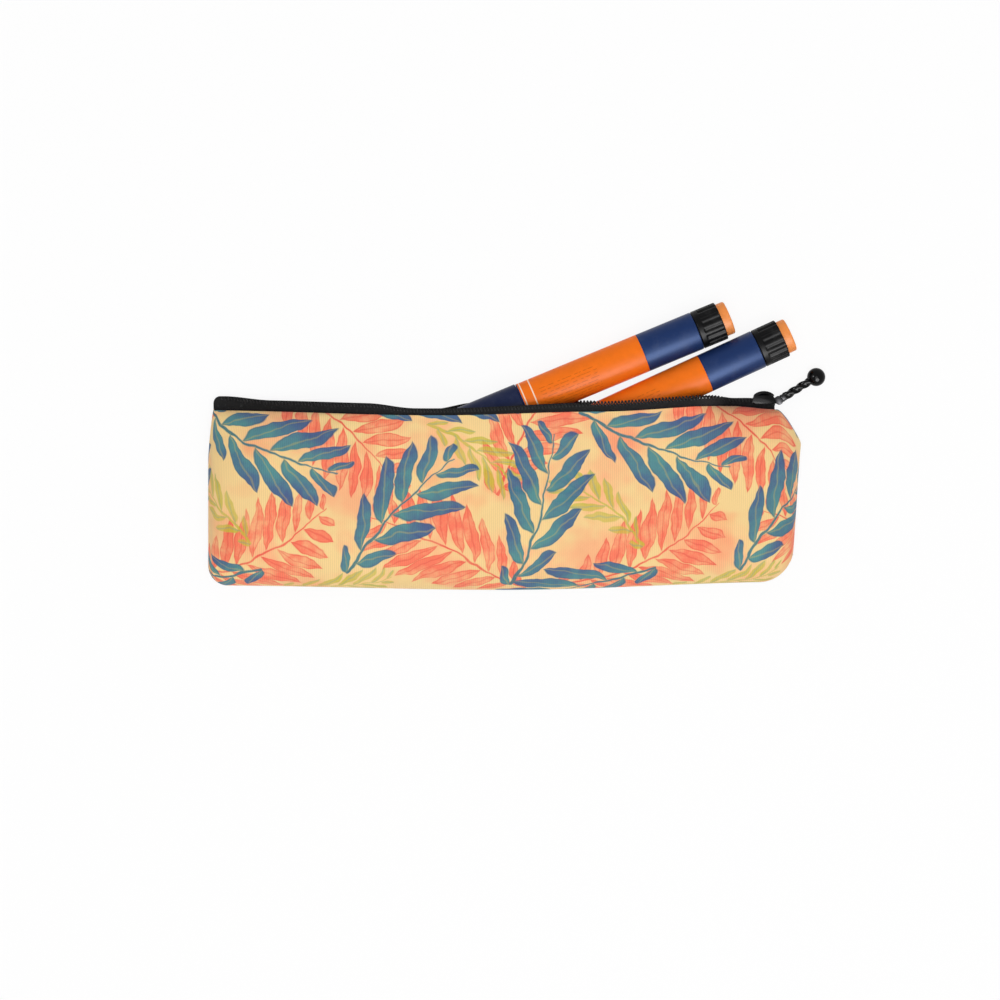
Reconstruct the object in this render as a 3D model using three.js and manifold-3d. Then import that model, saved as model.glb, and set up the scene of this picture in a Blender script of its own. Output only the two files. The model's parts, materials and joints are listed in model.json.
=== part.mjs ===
// An insulin cooling case: a soft zip pouch with gel pockets in both walls, and the two injection pens
// that it carries, half drawn out of its mouth. Millimetres, +Z up. The pouch lies on its back panel,
// whose flat face holds the origin. +X runs along the zip and +Y points out of the mouth.
import * as THREE from 'three';
import { mergeVertices } from 'three/addons/utils/BufferGeometryUtils.js';
import Module from 'manifold-3d';

const wasm = await Module();
wasm.setup();

// Clearances
const FIT_GAP = 0.3; // between rigid pieces that touch
const LAYER_GAP = 0.3; // between neighbouring layers of cloth
const TAPE_GAP = 0.2; // between a zip tape and the cloth it is sewn to
const PEN_CLEARANCE = 0.35; // between a cap and the lining above it

// Pouch outline
const POUCH_LENGTH = 255;
const POUCH_HEIGHT = 75.3; // hem to zip seam
const HEM_DROP = 36.8; // the hem lies this far below the origin
const HEM_BOW = 1.9; // the hem sags in the middle
const HEM_RISE_RIGHT = 1.6;
const CORNER_LEFT = 8.6;
const CORNER_RIGHT = 12;
const RIGHT_LEAN = 3; // the right edge runs in towards the hem
const CHAMFER_RUN = 9.9; // cut-off corner at the zip's closed end, along X
const CHAMFER_DROP = 14.2;
const ZIP_SAG = 1.7; // the zip seam dips where the upper pen leaves the mouth
const ZIP_RISE = 1.9; // and lifts beside the slider

// Cloth layers
const CLOTH = 0.6;
const LINING = 0.4;
const GEL = 1.6;
const GEL_AT_MOUTH = 0.6; // the back pockets thin out towards the mouth
const GEL_TAPER = 17; // over this distance
const SEAM_LIFT = 3.6; // the back panel turns up to its side seam
const DOME_RUN = 28; // the front panel is at full height this far from the seam
const BACK_RUN = 20;
const LINING_INSET = 3.4;
const GEL_MARGIN = 3.6; // a pocket stops short of the lining's edge
const LINING_MARGIN = 3.6; // the lining stops short of the zip tape
const POCKET_COUNT = 4;
const POCKET_SEAM = 2;
const PANEL_COLUMNS = 13; // grid columns over the flat middle of a panel

// Zip
const TAPE = 0.4;
const TAPE_LAP = 3.4; // tape under the seam
const TAPE_SHOW = 3.9; // tape above the seam at the left end
const TAPE_SHOW_LEAST = 0.5;
const TAPE_SPREAD = 3.2; // between the tapes beside the slider
const TAPE_MOUTH_RISE = 2.1;
const TAPE_SLIDER_SHOW = 1.1;
const COIL_WIDTH = 2;
const COIL_DEPTH = 1.2;
const SLIDER_LENGTH = 10;
const SLIDER_TRAVEL = 8;
const SLIDER_FROM_END = 11; // slider's right face to the pouch's right edge
const SLIDER_WALL = 0.8;
const SLIDER_RIB = 1; // thickness of the rib between the coils
const SLIDER_FOOT = 2;
const SLIDER_DOME = 2.2;
const SLIDER_DOME_WIDTH = 3.2;
const LUG_RADIUS = 1.3;
const LUG_HOLE = 0.75;
const LUG_REACH = 1.5; // slider's right face to the pull's hinge
const PULL_ANGLE = 32; // degrees above +X
const PULL_LENGTH = 19.2; // hinge to the ball's centre
const EYE_WIRE = 0.8;
const EYE_LENGTH = 2.6;
const COLLAR_RADIUS = 1.3;
const COLLAR_LENGTH = 2.2;
const BAR_RADIUS = 1.15;
const BAR_TWIST_DEPTH = 0.18;
const BAR_TURNS = 1.5;
const BALL_RADIUS = 3.95;
const BALL_SOCKET = 2;

// Pens, with stations along the axis counted from the barrel's outer end
const PEN_RADIUS = 8.4;
const CAP_RADIUS = 8.7;
const BARREL_LENGTH = 81;
const BARREL_WALL = 0.95;
const LABEL_LENGTH = 55;
const LABEL_THICKNESS = 0.3;
const NECK_LENGTH = 9;
const NECK_RADIUS = 7.5;
const NECK_BORE = 6.9;
const CAP_LENGTH = 62.2;
const CAP_END = 1.5;
const CAP_TRAVEL = 40;
const CARTRIDGE_RADIUS = 5.75;
const CARTRIDGE_LENGTH = 58;
const GLASS_WALL = 0.95;
const HOLDER_WALL = 0.55;
const NOSE_LENGTH = 5;
const NOSE_RADIUS = 4.7;
const CRIMP_RADIUS = 3.85;
const CRIMP_WALL = 0.35;
const STOPPER_LENGTH = 6;
const STOPPER_FROM_END = 6;
const ROD_RADIUS = 2.2;
const ROD_HEAD = 3.8;
const ROD_LENGTH = 72;
const SLEEVE_BORE = 2.6;
const SLEEVE_RADIUS = 3.4;
const SLEEVE_LENGTH = 50;
const DRUM_BORE = 4.4;
const DRUM_RADIUS = 6.5;
const DRUM_LENGTH = 37;
const SELECTOR_LENGTH = 11;
const SELECTOR_RIM = 0.8;
const SELECTOR_BORE = 3.8;
const SELECTOR_FLOOR = 7.7;
const SPIGOT_LENGTH = 2.7;
const FLUTE_DEPTH = 0.5;
const FLUTE_COUNT = 16;
const BUTTON_PROUD = 3.9;
const BUTTON_ROUND = 0.9;
const BUTTON_TRAVEL = 1.5;
const BUTTON_WALL = 1.8;
const SPRING_WIRE = 0.7;
const SPRING_RADIUS = 4.75;
const SPRING_TURNS = 4;

// Where the pens lie
const PEN_ANGLE = 24.6; // degrees from +X, lower pen
const PEN_SPLAY = 2.1; // the upper pen leans this much less
const PEN_SIDE_GAP = 0.8; // between the barrels at the upper pen's outer end
const PEN_SETBACK = 20.7; // the upper pen's end lies this far behind the lower one's
const PEN_END_FROM_RIGHT = 18.5; // lower barrel's end to the pouch's right edge, along X
const PEN_END_ABOVE_ZIP = 26.4; // lower barrel's end above the zip seam, along Y

const ROUND = 24; // segments on a visible round piece
const ROUND_INSIDE = 16; // segments on a hidden one

const radians = THREE.MathUtils.degToRad;
const clamp01 = (t) => Math.min(1, Math.max(0, t));
const smooth = (t) => clamp01(t) ** 2 * (3 - 2 * clamp01(t));
const lerp = THREE.MathUtils.lerp;
// A quarter ellipse that rises steeply from 0 at the seam to 1 at the run's end
const bulge = (d, run) => Math.sqrt(1 - (1 - clamp01(d / run)) ** 2);

// Eased value between neighbouring [place, value] keys
function keyed(keys, place) {
  const next = keys.findIndex(([at]) => at >= place);
  if (next === -1) return keys[keys.length - 1][1];
  if (next === 0) return keys[0][1];
  const [from, low] = keys[next - 1];
  const [to, high] = keys[next];
  return lerp(low, high, smooth((place - from) / (to - from)));
}

const LEFT = -POUCH_LENGTH / 2;
const RIGHT = POUCH_LENGTH / 2;
const ZIP_Y = POUCH_HEIGHT - HEM_DROP;

function material(color, roughness, metalness = 0) {
  return new THREE.MeshStandardMaterial({ color, roughness, metalness });
}

function piece(name, geometry, finish) {
  const mesh = new THREE.Mesh(geometry, finish);
  mesh.name = name;
  return mesh;
}

function geometryFrom(points, faces) {
  const geometry = new THREE.BufferGeometry();
  geometry.setAttribute('position', new THREE.Float32BufferAttribute(points.flat(), 3));
  geometry.setIndex(faces.flat());
  geometry.computeVertexNormals();
  return geometry;
}

function solid(geometry) {
  const bare = geometry.clone();
  bare.deleteAttribute('normal');
  bare.deleteAttribute('uv');
  const merged = mergeVertices(bare, 1e-4);
  return new wasm.Manifold(new wasm.Mesh({
    numProp: 3,
    vertProperties: new Float32Array(merged.attributes.position.array),
    triVerts: new Uint32Array(merged.index.array),
  }));
}

function fromSolid(manifold) {
  const mesh = manifold.getMesh();
  const geometry = new THREE.BufferGeometry();
  geometry.setAttribute('position', new THREE.BufferAttribute(mesh.vertProperties, 3));
  geometry.setIndex(new THREE.BufferAttribute(mesh.triVerts, 1));
  geometry.computeVertexNormals();
  return geometry;
}

// A closed sheet over a grid of columns and rows; each grid point has x, y, low and high
function sheet(grid) {
  const rows = grid[0].length;
  const points = grid.flatMap((column) => column.flatMap((p) => [[p.x, p.y, p.low], [p.x, p.y, p.high]]));
  const low = (c, r) => 2 * (c * rows + r);
  const high = (c, r) => low(c, r) + 1;
  const faces = [];
  for (let c = 0; c + 1 < grid.length; c += 1) {
    for (let r = 0; r + 1 < rows; r += 1) {
      faces.push([high(c, r), high(c + 1, r), high(c + 1, r + 1)], [high(c, r), high(c + 1, r + 1), high(c, r + 1)]);
      faces.push([low(c, r), low(c + 1, r + 1), low(c + 1, r)], [low(c, r), low(c, r + 1), low(c + 1, r + 1)]);
    }
  }
  const wall = (a, b) => faces.push([low(...a), low(...b), high(...b)], [low(...a), high(...b), high(...a)]);
  const lastColumn = grid.length - 1;
  for (let c = 0; c < lastColumn; c += 1) {
    wall([c, 0], [c + 1, 0]);
    wall([c + 1, rows - 1], [c, rows - 1]);
  }
  for (let r = 0; r + 1 < rows; r += 1) {
    wall([0, r + 1], [0, r]);
    wall([lastColumn, r], [lastColumn, r + 1]);
  }
  return geometryFrom(points, faces);
}

// A closed tube through rings of points; the rings turn anticlockwise as seen from the last one
function loft(rings) {
  const count = rings[0].length;
  const faces = [];
  for (let k = 0; k + 1 < rings.length; k += 1) {
    for (let n = 0; n < count; n += 1) {
      const a = k * count + n;
      const b = k * count + ((n + 1) % count);
      faces.push([a, b, b + count], [a, b + count, a + count]);
    }
  }
  const last = (rings.length - 1) * count;
  for (let n = 1; n + 1 < count; n += 1) {
    faces.push([0, n + 1, n], [last, last + n, last + n + 1]);
  }
  return geometryFrom(rings.flat(), faces);
}

// Turned piece: [station, radius] pairs, anticlockwise, with the axis along +X
function turned(profile, segments) {
  const points = profile.map(([station, radius]) => new THREE.Vector2(radius, station));
  return new THREE.LatheGeometry(points, segments).rotateZ(-Math.PI / 2);
}

const ring = (profile) => [...profile, profile[0]];

// Where the pens lie and how they tilt
const penEnd = SELECTOR_LENGTH + FIT_GAP;
const lowerStart = new THREE.Vector2(RIGHT - PEN_END_FROM_RIGHT, ZIP_Y + PEN_END_ABOVE_ZIP);
const buttonEnd = penEnd + BUTTON_PROUD;
const along = (degrees) => new THREE.Vector2(1, 0).rotateAround(new THREE.Vector2(), radians(degrees));
const across = (degrees) => along(degrees + 90);
const upperAngle = PEN_ANGLE - PEN_SPLAY;
const upperStart = lowerStart.clone()
  .addScaledVector(along(PEN_ANGLE), buttonEnd - PEN_SETBACK)
  .addScaledVector(across(PEN_ANGLE), 2 * PEN_RADIUS + PEN_SIDE_GAP)
  .addScaledVector(along(upperAngle), -buttonEnd);
const coilMid = ZIP_Y + TAPE_SLIDER_SHOW + FIT_GAP + COIL_WIDTH;
const backCoilTop = CLOTH + TAPE_GAP + (TAPE + COIL_DEPTH) / 2;
const mouthStation = (coilMid - lowerStart.y) / Math.sin(radians(PEN_ANGLE));
const penEndHeight = PEN_RADIUS + FIT_GAP;
const penSlope = (backCoilTop + FIT_GAP + PEN_RADIUS - penEndHeight) / (penEnd - mouthStation);
const penHeight = (station) => penEndHeight + penSlope * (penEnd - station);
const capTip = -(BARREL_LENGTH + FIT_GAP + CAP_LENGTH);

// Heights of the layers: the front ceiling over the cavity, and the side seam
const CEILING = penHeight(capTip - CAP_TRAVEL) + CAP_RADIUS + PEN_CLEARANCE;
const FRONT_STACK = LINING + LAYER_GAP + GEL + LAYER_GAP; // ceiling to the outer cloth
const CEILING_AT_SEAM = SEAM_LIFT + CLOTH + LAYER_GAP - FRONT_STACK;
const SEAM_MID = SEAM_LIFT + CLOTH + LAYER_GAP / 2;
const frontTapeRise = FRONT_STACK - TAPE_GAP - TAPE / 2; // ceiling to the front tape's middle
const backTapeRise = CLOTH + TAPE_GAP + TAPE / 2; // back face to the back tape's middle
const frontShut = (SEAM_MID + TAPE_SPREAD / 2 - frontTapeRise - CEILING_AT_SEAM) / (CEILING - CEILING_AT_SEAM);
const backShut = 1 - (SEAM_MID - TAPE_SPREAD / 2 - backTapeRise) / SEAM_LIFT;

// The mouth along X: shut at both ends, open where the pens pass
const sliderRight = RIGHT - SLIDER_FROM_END;
const sliderLeft = sliderRight - SLIDER_LENGTH;
const chamferStart = RIGHT - CHAMFER_RUN;
const upperEdgeStation = (ZIP_Y - LINING_MARGIN - upperStart.y - CAP_RADIUS * across(upperAngle).y) / along(upperAngle).y;
const mouthOpenLeft = upperStart.x + upperEdgeStation * along(upperAngle).x + CAP_RADIUS * across(upperAngle).x;
const lowerEdgeStation = (coilMid - lowerStart.y + CAP_RADIUS * across(PEN_ANGLE).y) / along(PEN_ANGLE).y;
const lowerEdgeX = lowerStart.x + lowerEdgeStation * along(PEN_ANGLE).x - CAP_RADIUS * across(PEN_ANGLE).x;
const mouthOpenRight = lowerEdgeX - PEN_RADIUS / 2;
const zipShutLeft = sliderLeft - SLIDER_TRAVEL - 2 * FIT_GAP;

function mouth(x, shut) {
  return keyed([
    [LEFT, shut], [LEFT + DOME_RUN / 3, shut], [mouthOpenLeft, 1], [mouthOpenRight, 1],
    [zipShutLeft, shut], [sliderRight - LUG_REACH, shut], [chamferStart, 0], [RIGHT, 0],
  ], x);
}

// Outline of the panels and of the zip band
const share = (x) => (x - LEFT) / POUCH_LENGTH;
const cornerRise = (d, radius) => (d < radius ? radius - Math.sqrt(radius ** 2 - (radius - d) ** 2) : 0);

function hemY(x) {
  const bow = keyed([[0, 0], [0.5, -HEM_BOW], [1, HEM_RISE_RIGHT]], share(x));
  return -HEM_DROP + bow + cornerRise(x - LEFT, CORNER_LEFT) + cornerRise(RIGHT - x, CORNER_RIGHT);
}

function zipY(x) {
  const wave = keyed([[0, 0], [0.39, -ZIP_SAG], [0.66, 0], [0.88, ZIP_RISE], [0.96, ZIP_RISE / 2]], share(x));
  const chamfer = CHAMFER_DROP * clamp01((x - chamferStart) / CHAMFER_RUN);
  return ZIP_Y + wave - chamfer;
}

function tapeShow(x) {
  return keyed([
    [0.02, TAPE_SHOW], [0.37, TAPE_SHOW_LEAST], [0.8, TAPE_MOUTH_RISE], [0.86, TAPE_MOUTH_RISE],
    [share(zipShutLeft), TAPE_SLIDER_SHOW],
  ], share(x));
}

// The grid that every layer of cloth shares, so that the layers stay parallel
const gelInset = LINING_INSET + GEL_MARGIN;
const gelTop = TAPE_LAP + LINING_MARGIN + GEL_MARGIN;
const towards = (from, t) => lerp(from, DOME_RUN, t);
const sideRings = [0, LINING_INSET / 3, LINING_INSET, gelInset, towards(gelInset, 0.27), towards(gelInset, 0.62)];
const topRings = [0, TAPE_LAP, TAPE_LAP + LINING_MARGIN, gelTop, towards(gelTop, 0.5), DOME_RUN];
const middle = Array.from({ length: PANEL_COLUMNS + 1 }, (_, k) =>
  lerp(LEFT + DOME_RUN, RIGHT - DOME_RUN, k / PANEL_COLUMNS));
const columnX = [
  ...sideRings.map((d) => LEFT + d), ...middle, mouthOpenRight, zipShutLeft, chamferStart,
  ...sideRings.map((d) => RIGHT - d),
].sort((a, b) => a - b);
const rowV = [
  ...sideRings.map((d) => d / POUCH_HEIGHT), DOME_RUN / POUCH_HEIGHT,
  ...topRings.map((d) => 1 - d / POUCH_HEIGHT).reverse(),
];
const lastColumn = columnX.length - 1;
const lastRow = rowV.length - 1;

// One grid point: its place, the ceiling, the back face and the back pocket's thickness
function gridPoint(c, r) {
  const nominal = columnX[c];
  const v = rowV[r];
  const dTop = (1 - v) * POUCH_HEIGHT;
  const dBottom = v * POUCH_HEIGHT;
  const dLeft = nominal - LEFT;
  const dRight = RIGHT - nominal;
  const domeSides = bulge(dLeft, DOME_RUN) * bulge(dRight, DOME_RUN) * bulge(dBottom, DOME_RUN);
  const dome = lerp(mouth(nominal, frontShut), domeSides, bulge(dTop, DOME_RUN));
  const flatSides = smooth(dLeft / BACK_RUN) * smooth(dRight / BACK_RUN) * smooth(dBottom / BACK_RUN);
  const flat = lerp(mouth(nominal, backShut), flatSides, smooth(dTop / BACK_RUN));
  return {
    x: nominal - RIGHT_LEAN * (1 - v) * Math.max(0, nominal / RIGHT) ** 3,
    y: lerp(hemY(nominal), zipY(nominal), v),
    ceiling: lerp(CEILING_AT_SEAM, CEILING, dome),
    back: SEAM_LIFT * (1 - flat),
    pocket: lerp(GEL_AT_MOUTH, GEL, clamp01((dTop - gelTop) / GEL_TAPER)),
  };
}

const panelGrid = columnX.map((_, c) => rowV.map((__, r) => gridPoint(c, r)));

// A layer over part of the grid; a column may lie a little way into the next cell
function layer(columns, rows, low, thickness) {
  return sheet(columns.map(([c, into]) => rows.map((r) => {
    const here = panelGrid[c][r];
    const next = panelGrid[into < 0 ? c - 1 : Math.min(c + 1, lastColumn)][r];
    const t = Math.abs(into / (next.x - here.x || 1));
    const point = Object.fromEntries(Object.keys(here).map((key) => [key, lerp(here[key], next[key], t)]));
    const base = low(point);
    return { x: point.x, y: point.y, low: base, high: base + thickness(point) };
  })));
}

const span = (from, to) => Array.from({ length: to - from + 1 }, (_, k) => from + k);
const whole = (from, to) => span(from, to).map((c) => [c, 0]);
const ringOf = (inset) => sideRings.indexOf(inset);

const printCloth = { color: 0xf8c08a, roughness: 0.85 };
const liningCloth = { color: 0x3a3d45, roughness: 0.8 };
const gelFill = { color: 0xbfd8dc, roughness: 0.4 };
const blackCloth = { color: 0x212121, roughness: 0.9 };
const finish = ({ color, roughness, metalness }) => material(color, roughness, metalness);

const OUTER_RISE = FRONT_STACK;
const PANEL_ROWS = span(0, lastRow);
const LINING_ROWS = span(ringOf(LINING_INSET), lastRow - 2);
const GEL_ROWS = span(ringOf(gelInset), lastRow - 3);
const backGelRise = CLOTH + LAYER_GAP;

function panels() {
  const all = whole(0, lastColumn);
  const inner = whole(ringOf(LINING_INSET), lastColumn - ringOf(LINING_INSET));
  const cloth = () => CLOTH;
  const lining = () => LINING;
  return [
    piece('outer_front_panel', layer(all, PANEL_ROWS, (p) => p.ceiling + OUTER_RISE, cloth), finish(printCloth)),
    piece('outer_back_panel', layer(all, PANEL_ROWS, (p) => p.back, cloth), finish(printCloth)),
    piece('lining_front', layer(inner, LINING_ROWS, (p) => p.ceiling, lining), finish(liningCloth)),
    piece('lining_back', layer(inner, LINING_ROWS, (p) => p.back + backGelRise + p.pocket + LAYER_GAP, lining),
      finish(liningCloth)),
  ];
}

// Gel pockets stand side by side in each wall, with a sewn seam between neighbours
function gelPockets() {
  const first = ringOf(gelInset);
  const last = lastColumn - first;
  const frontRise = LINING + LAYER_GAP;
  return span(1, POCKET_COUNT).flatMap((n) => {
    const from = Math.round(lerp(first, last, (n - 1) / POCKET_COUNT));
    const to = Math.round(lerp(first, last, n / POCKET_COUNT));
    const columns = whole(from, to);
    if (n > 1) columns[0] = [from, POCKET_SEAM / 2];
    if (n < POCKET_COUNT) columns[columns.length - 1] = [to, -POCKET_SEAM / 2];
    return [
      piece(`gel_pocket_front_${n}`, layer(columns, GEL_ROWS, (p) => p.ceiling + frontRise, () => GEL), finish(gelFill)),
      piece(`gel_pocket_back_${n}`, layer(columns, GEL_ROWS, (p) => p.back + backGelRise, (p) => p.pocket),
        finish(gelFill)),
    ];
  });
}

// Zip tapes and coils follow the panels' mouth edges
const tapeFirst = ringOf(LINING_INSET);
const tapeLast = columnX.findLastIndex((x) => x < sliderRight);
const coilEnd = sliderRight + LUG_REACH - SLIDER_TRAVEL - EYE_WIRE - FIT_GAP;

function zipTape(name, middleOf) {
  const grid = span(tapeFirst, tapeLast).map((c) => {
    const rows = [panelGrid[c][lastRow - 1], panelGrid[c][lastRow]].map((p) => ({ x: p.x, y: p.y, mid: middleOf(p) }));
    const edge = rows[1];
    rows.push({ ...edge, y: edge.y + tapeShow(columnX[c]) });
    return rows.map(({ x, y, mid }) => ({ x, y, low: mid - TAPE / 2, high: mid + TAPE / 2 }));
  });
  return piece(name, sheet(grid), finish(blackCloth));
}

function zipCoil(name, middleOf) {
  const stops = span(tapeFirst, tapeLast).map((c) => panelGrid[c][lastRow])
    .map((p, k) => ({ x: p.x, y: p.y + tapeShow(columnX[tapeFirst + k]) + FIT_GAP + COIL_WIDTH / 2, z: middleOf(p) }));
  const kept = stops.filter(({ x }) => x < coilEnd);
  const before = kept[kept.length - 1];
  const after = stops[kept.length];
  const t = (coilEnd - before.x) / (after.x - before.x);
  kept.push({ x: coilEnd, y: lerp(before.y, after.y, t), z: lerp(before.z, after.z, t) });
  const corner = 0.6; // share of the section that its corners keep square
  const section = [[1, corner], [corner, 1], [-corner, 1], [-1, corner], [-1, -corner], [-corner, -1], [corner, -1], [1, -corner]];
  return piece(name, loft(kept.map(({ x, y, z }) =>
    section.map(([a, b]) => [x, y + a * COIL_WIDTH / 2, z + b * COIL_DEPTH / 2]))), material(0x1c1c1c, 0.45));
}

// Slider: a plate over the coils, a flange outside each, and a rib with a foot between the tapes
const coilBottom = ZIP_Y + ZIP_RISE + TAPE_SLIDER_SHOW + FIT_GAP;
const coilTop = coilBottom + COIL_WIDTH;
const plateBottom = coilTop + FIT_GAP;
const plateTop = plateBottom + SLIDER_WALL;
const hingeX = sliderRight + LUG_REACH;
const hingeY = coilBottom + COIL_WIDTH / 2;

function slider() {
  const channel = TAPE_SPREAD / 2 + COIL_DEPTH / 2 + FIT_GAP;
  const outer = channel + SLIDER_WALL;
  const flangeBottom = coilBottom - FIT_GAP;
  const footBottom = flangeBottom - SLIDER_WALL;
  const rib = SLIDER_RIB / 2;
  const foot = SLIDER_FOOT / 2;
  const half = [
    [outer, plateTop], [outer, flangeBottom], [channel, flangeBottom], [channel, plateBottom], [rib, plateBottom],
    [rib, flangeBottom], [foot, flangeBottom], [foot, footBottom],
  ];
  const section = [...half, ...half.map(([a, y]) => [-a, y]).reverse()].map(([a, y]) => new THREE.Vector2(a, y));
  const body = new THREE.ExtrudeGeometry(new THREE.Shape(section.reverse()), { depth: SLIDER_LENGTH, bevelEnabled: false })
    .rotateY(Math.PI / 2).translate(sliderLeft, 0, SEAM_MID);

  const dome = new THREE.Shape();
  dome.moveTo(sliderLeft + SLIDER_WALL, plateBottom + SLIDER_WALL / 2);
  dome.lineTo(sliderRight - SLIDER_WALL, plateBottom + SLIDER_WALL / 2);
  dome.bezierCurveTo(sliderRight - SLIDER_WALL, plateTop + SLIDER_DOME, sliderLeft + SLIDER_LENGTH / 2,
    plateTop + SLIDER_DOME, sliderLeft + SLIDER_WALL, plateBottom + SLIDER_WALL / 2);
  const bail = new THREE.ExtrudeGeometry(dome, { depth: SLIDER_DOME_WIDTH, bevelEnabled: false, curveSegments: 12 })
    .translate(0, 0, SEAM_MID - SLIDER_DOME_WIDTH / 2);

  const tongue = new THREE.Shape();
  tongue.absarc(hingeX, hingeY, LUG_RADIUS, -Math.PI / 2, Math.PI / 2, false);
  tongue.lineTo(sliderRight - SLIDER_WALL, hingeY + LUG_RADIUS);
  tongue.lineTo(sliderRight - SLIDER_WALL, hingeY - LUG_RADIUS);
  tongue.holes.push(new THREE.Path().absarc(hingeX, hingeY, LUG_HOLE, 0, 2 * Math.PI, true));
  const lug = new THREE.ExtrudeGeometry(tongue, { depth: SLIDER_RIB, bevelEnabled: false, curveSegments: 10 })
    .translate(0, 0, SEAM_MID - SLIDER_RIB / 2);
  return piece('zip_slider', fromSolid(solid(body).add(solid(bail)).add(solid(lug))), material(0x232323, 0.35, 0.3));
}

// Pull: a wire eye through the slider's lug, a collar, a twisted bar and a ball, along its own +X
function pull() {
  const group = new THREE.Group();
  group.position.set(hingeX, hingeY, SEAM_MID);
  group.rotation.z = radians(PULL_ANGLE);
  const inside = SLIDER_RIB / 2 + FIT_GAP;
  const outside = inside + EYE_WIRE;
  const loopEnd = EYE_LENGTH - EYE_WIRE / 2;
  const outline = new THREE.Shape([
    [-EYE_WIRE / 2, -outside], [loopEnd, -outside], [loopEnd, outside], [-EYE_WIRE / 2, outside],
  ].map(([s, z]) => new THREE.Vector2(s, z)));
  outline.holes.push(new THREE.Path([
    [EYE_WIRE / 2, -inside], [EYE_WIRE / 2, inside], [loopEnd - EYE_WIRE, inside], [loopEnd - EYE_WIRE, -inside],
  ].map(([s, z]) => new THREE.Vector2(s, z))));
  const loop = new THREE.ExtrudeGeometry(outline, { depth: EYE_WIRE, bevelEnabled: false })
    .translate(0, 0, -EYE_WIRE / 2).rotateX(Math.PI / 2);
  const collarStart = loopEnd - EYE_WIRE / 2;
  const collarEnd = collarStart + COLLAR_LENGTH;
  const collar = turned([[collarStart, 0], [collarStart, COLLAR_RADIUS], [collarEnd, COLLAR_RADIUS], [collarEnd, 0]],
    ROUND_INSIDE);
  group.add(piece('zip_pull_eye', fromSolid(solid(loop).add(solid(collar))), material(0x5a5a5c, 0.4, 0.7)));

  const barStart = collarEnd + FIT_GAP;
  const socketFloor = PULL_LENGTH - BALL_RADIUS + BALL_SOCKET;
  const barEnd = socketFloor - FIT_GAP;
  const steps = 12;
  const sides = 12;
  const lobes = 3;
  const rings = span(0, steps).map((k) => span(0, sides - 1).map((n) => {
    const angle = 2 * Math.PI * n / sides;
    const twist = 2 * Math.PI * BAR_TURNS * k / steps;
    const radius = BAR_RADIUS + BAR_TWIST_DEPTH * Math.cos(lobes * angle - lobes * twist);
    return [lerp(barStart, barEnd, k / steps), radius * Math.cos(angle), radius * Math.sin(angle)];
  }));
  group.add(piece('zip_pull_bar', loft(rings), material(0x1e1e1e, 0.4)));

  const socketRadius = BAR_RADIUS + BAR_TWIST_DEPTH + FIT_GAP;
  const ball = new THREE.SphereGeometry(BALL_RADIUS, ROUND_INSIDE, ROUND_INSIDE / 2).translate(PULL_LENGTH, 0, 0);
  const socket = turned([
    [PULL_LENGTH - 2 * BALL_RADIUS, 0], [PULL_LENGTH - 2 * BALL_RADIUS, socketRadius], [socketFloor, socketRadius],
    [socketFloor, 0],
  ], ROUND_INSIDE);
  group.add(piece('zip_pull_ball', fromSolid(solid(ball).subtract(solid(socket))), material(0x1a1a1a, 0.15)));
  return group;
}

// Stations shared by the pieces of a pen
const labelBed = PEN_RADIUS - LABEL_THICKNESS - FIT_GAP;
const capMouth = -BARREL_LENGTH - FIT_GAP;
const neckEnd = -BARREL_LENGTH - NECK_LENGTH;
const labelEnd = -BARREL_LENGTH + 2 * FIT_GAP;
const labelStart = labelEnd + LABEL_LENGTH;
const holderBore = CARTRIDGE_RADIUS + FIT_GAP;
const holderRadius = holderBore + HOLDER_WALL;
const noseEnd = capTip + CAP_END + 5 * FIT_GAP;
const holderFront = noseEnd + NOSE_LENGTH;
const noseBore = CRIMP_RADIUS + FIT_GAP;
const glassFront = holderFront + 2 * FIT_GAP;
const glassBack = glassFront + CARTRIDGE_LENGTH;
const glassBore = CARTRIDGE_RADIUS - GLASS_WALL;
const neckGlass = CRIMP_RADIUS - CRIMP_WALL - FIT_GAP;
const vialMouth = glassFront - NOSE_LENGTH + 1.2;

function barrel() {
  return turned(ring([
    [neckEnd, NECK_BORE], [neckEnd, NECK_RADIUS], [-BARREL_LENGTH, NECK_RADIUS], [-BARREL_LENGTH, PEN_RADIUS],
    [labelEnd - FIT_GAP, PEN_RADIUS], [labelEnd - FIT_GAP, labelBed], [labelStart + FIT_GAP, labelBed],
    [labelStart + FIT_GAP, PEN_RADIUS], [0, PEN_RADIUS], [0, labelBed - BARREL_WALL],
    [-BARREL_LENGTH + BARREL_WALL, labelBed - BARREL_WALL],
  ]), ROUND);
}

function label() {
  return turned(ring([
    [labelEnd, labelBed + FIT_GAP], [labelEnd, PEN_RADIUS], [labelStart, PEN_RADIUS], [labelStart, labelBed + FIT_GAP],
  ]), ROUND);
}

function cap() {
  const bore = NECK_RADIUS + FIT_GAP;
  const round = CAP_END;
  return turned([
    [capTip, 0], [capTip, CAP_RADIUS - round], [capTip + round / 3, CAP_RADIUS - round / 3], [capTip + round, CAP_RADIUS],
    [capMouth, CAP_RADIUS], [capMouth, bore], [capTip + CAP_END, bore], [capTip + CAP_END, 0],
  ], ROUND);
}

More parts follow.
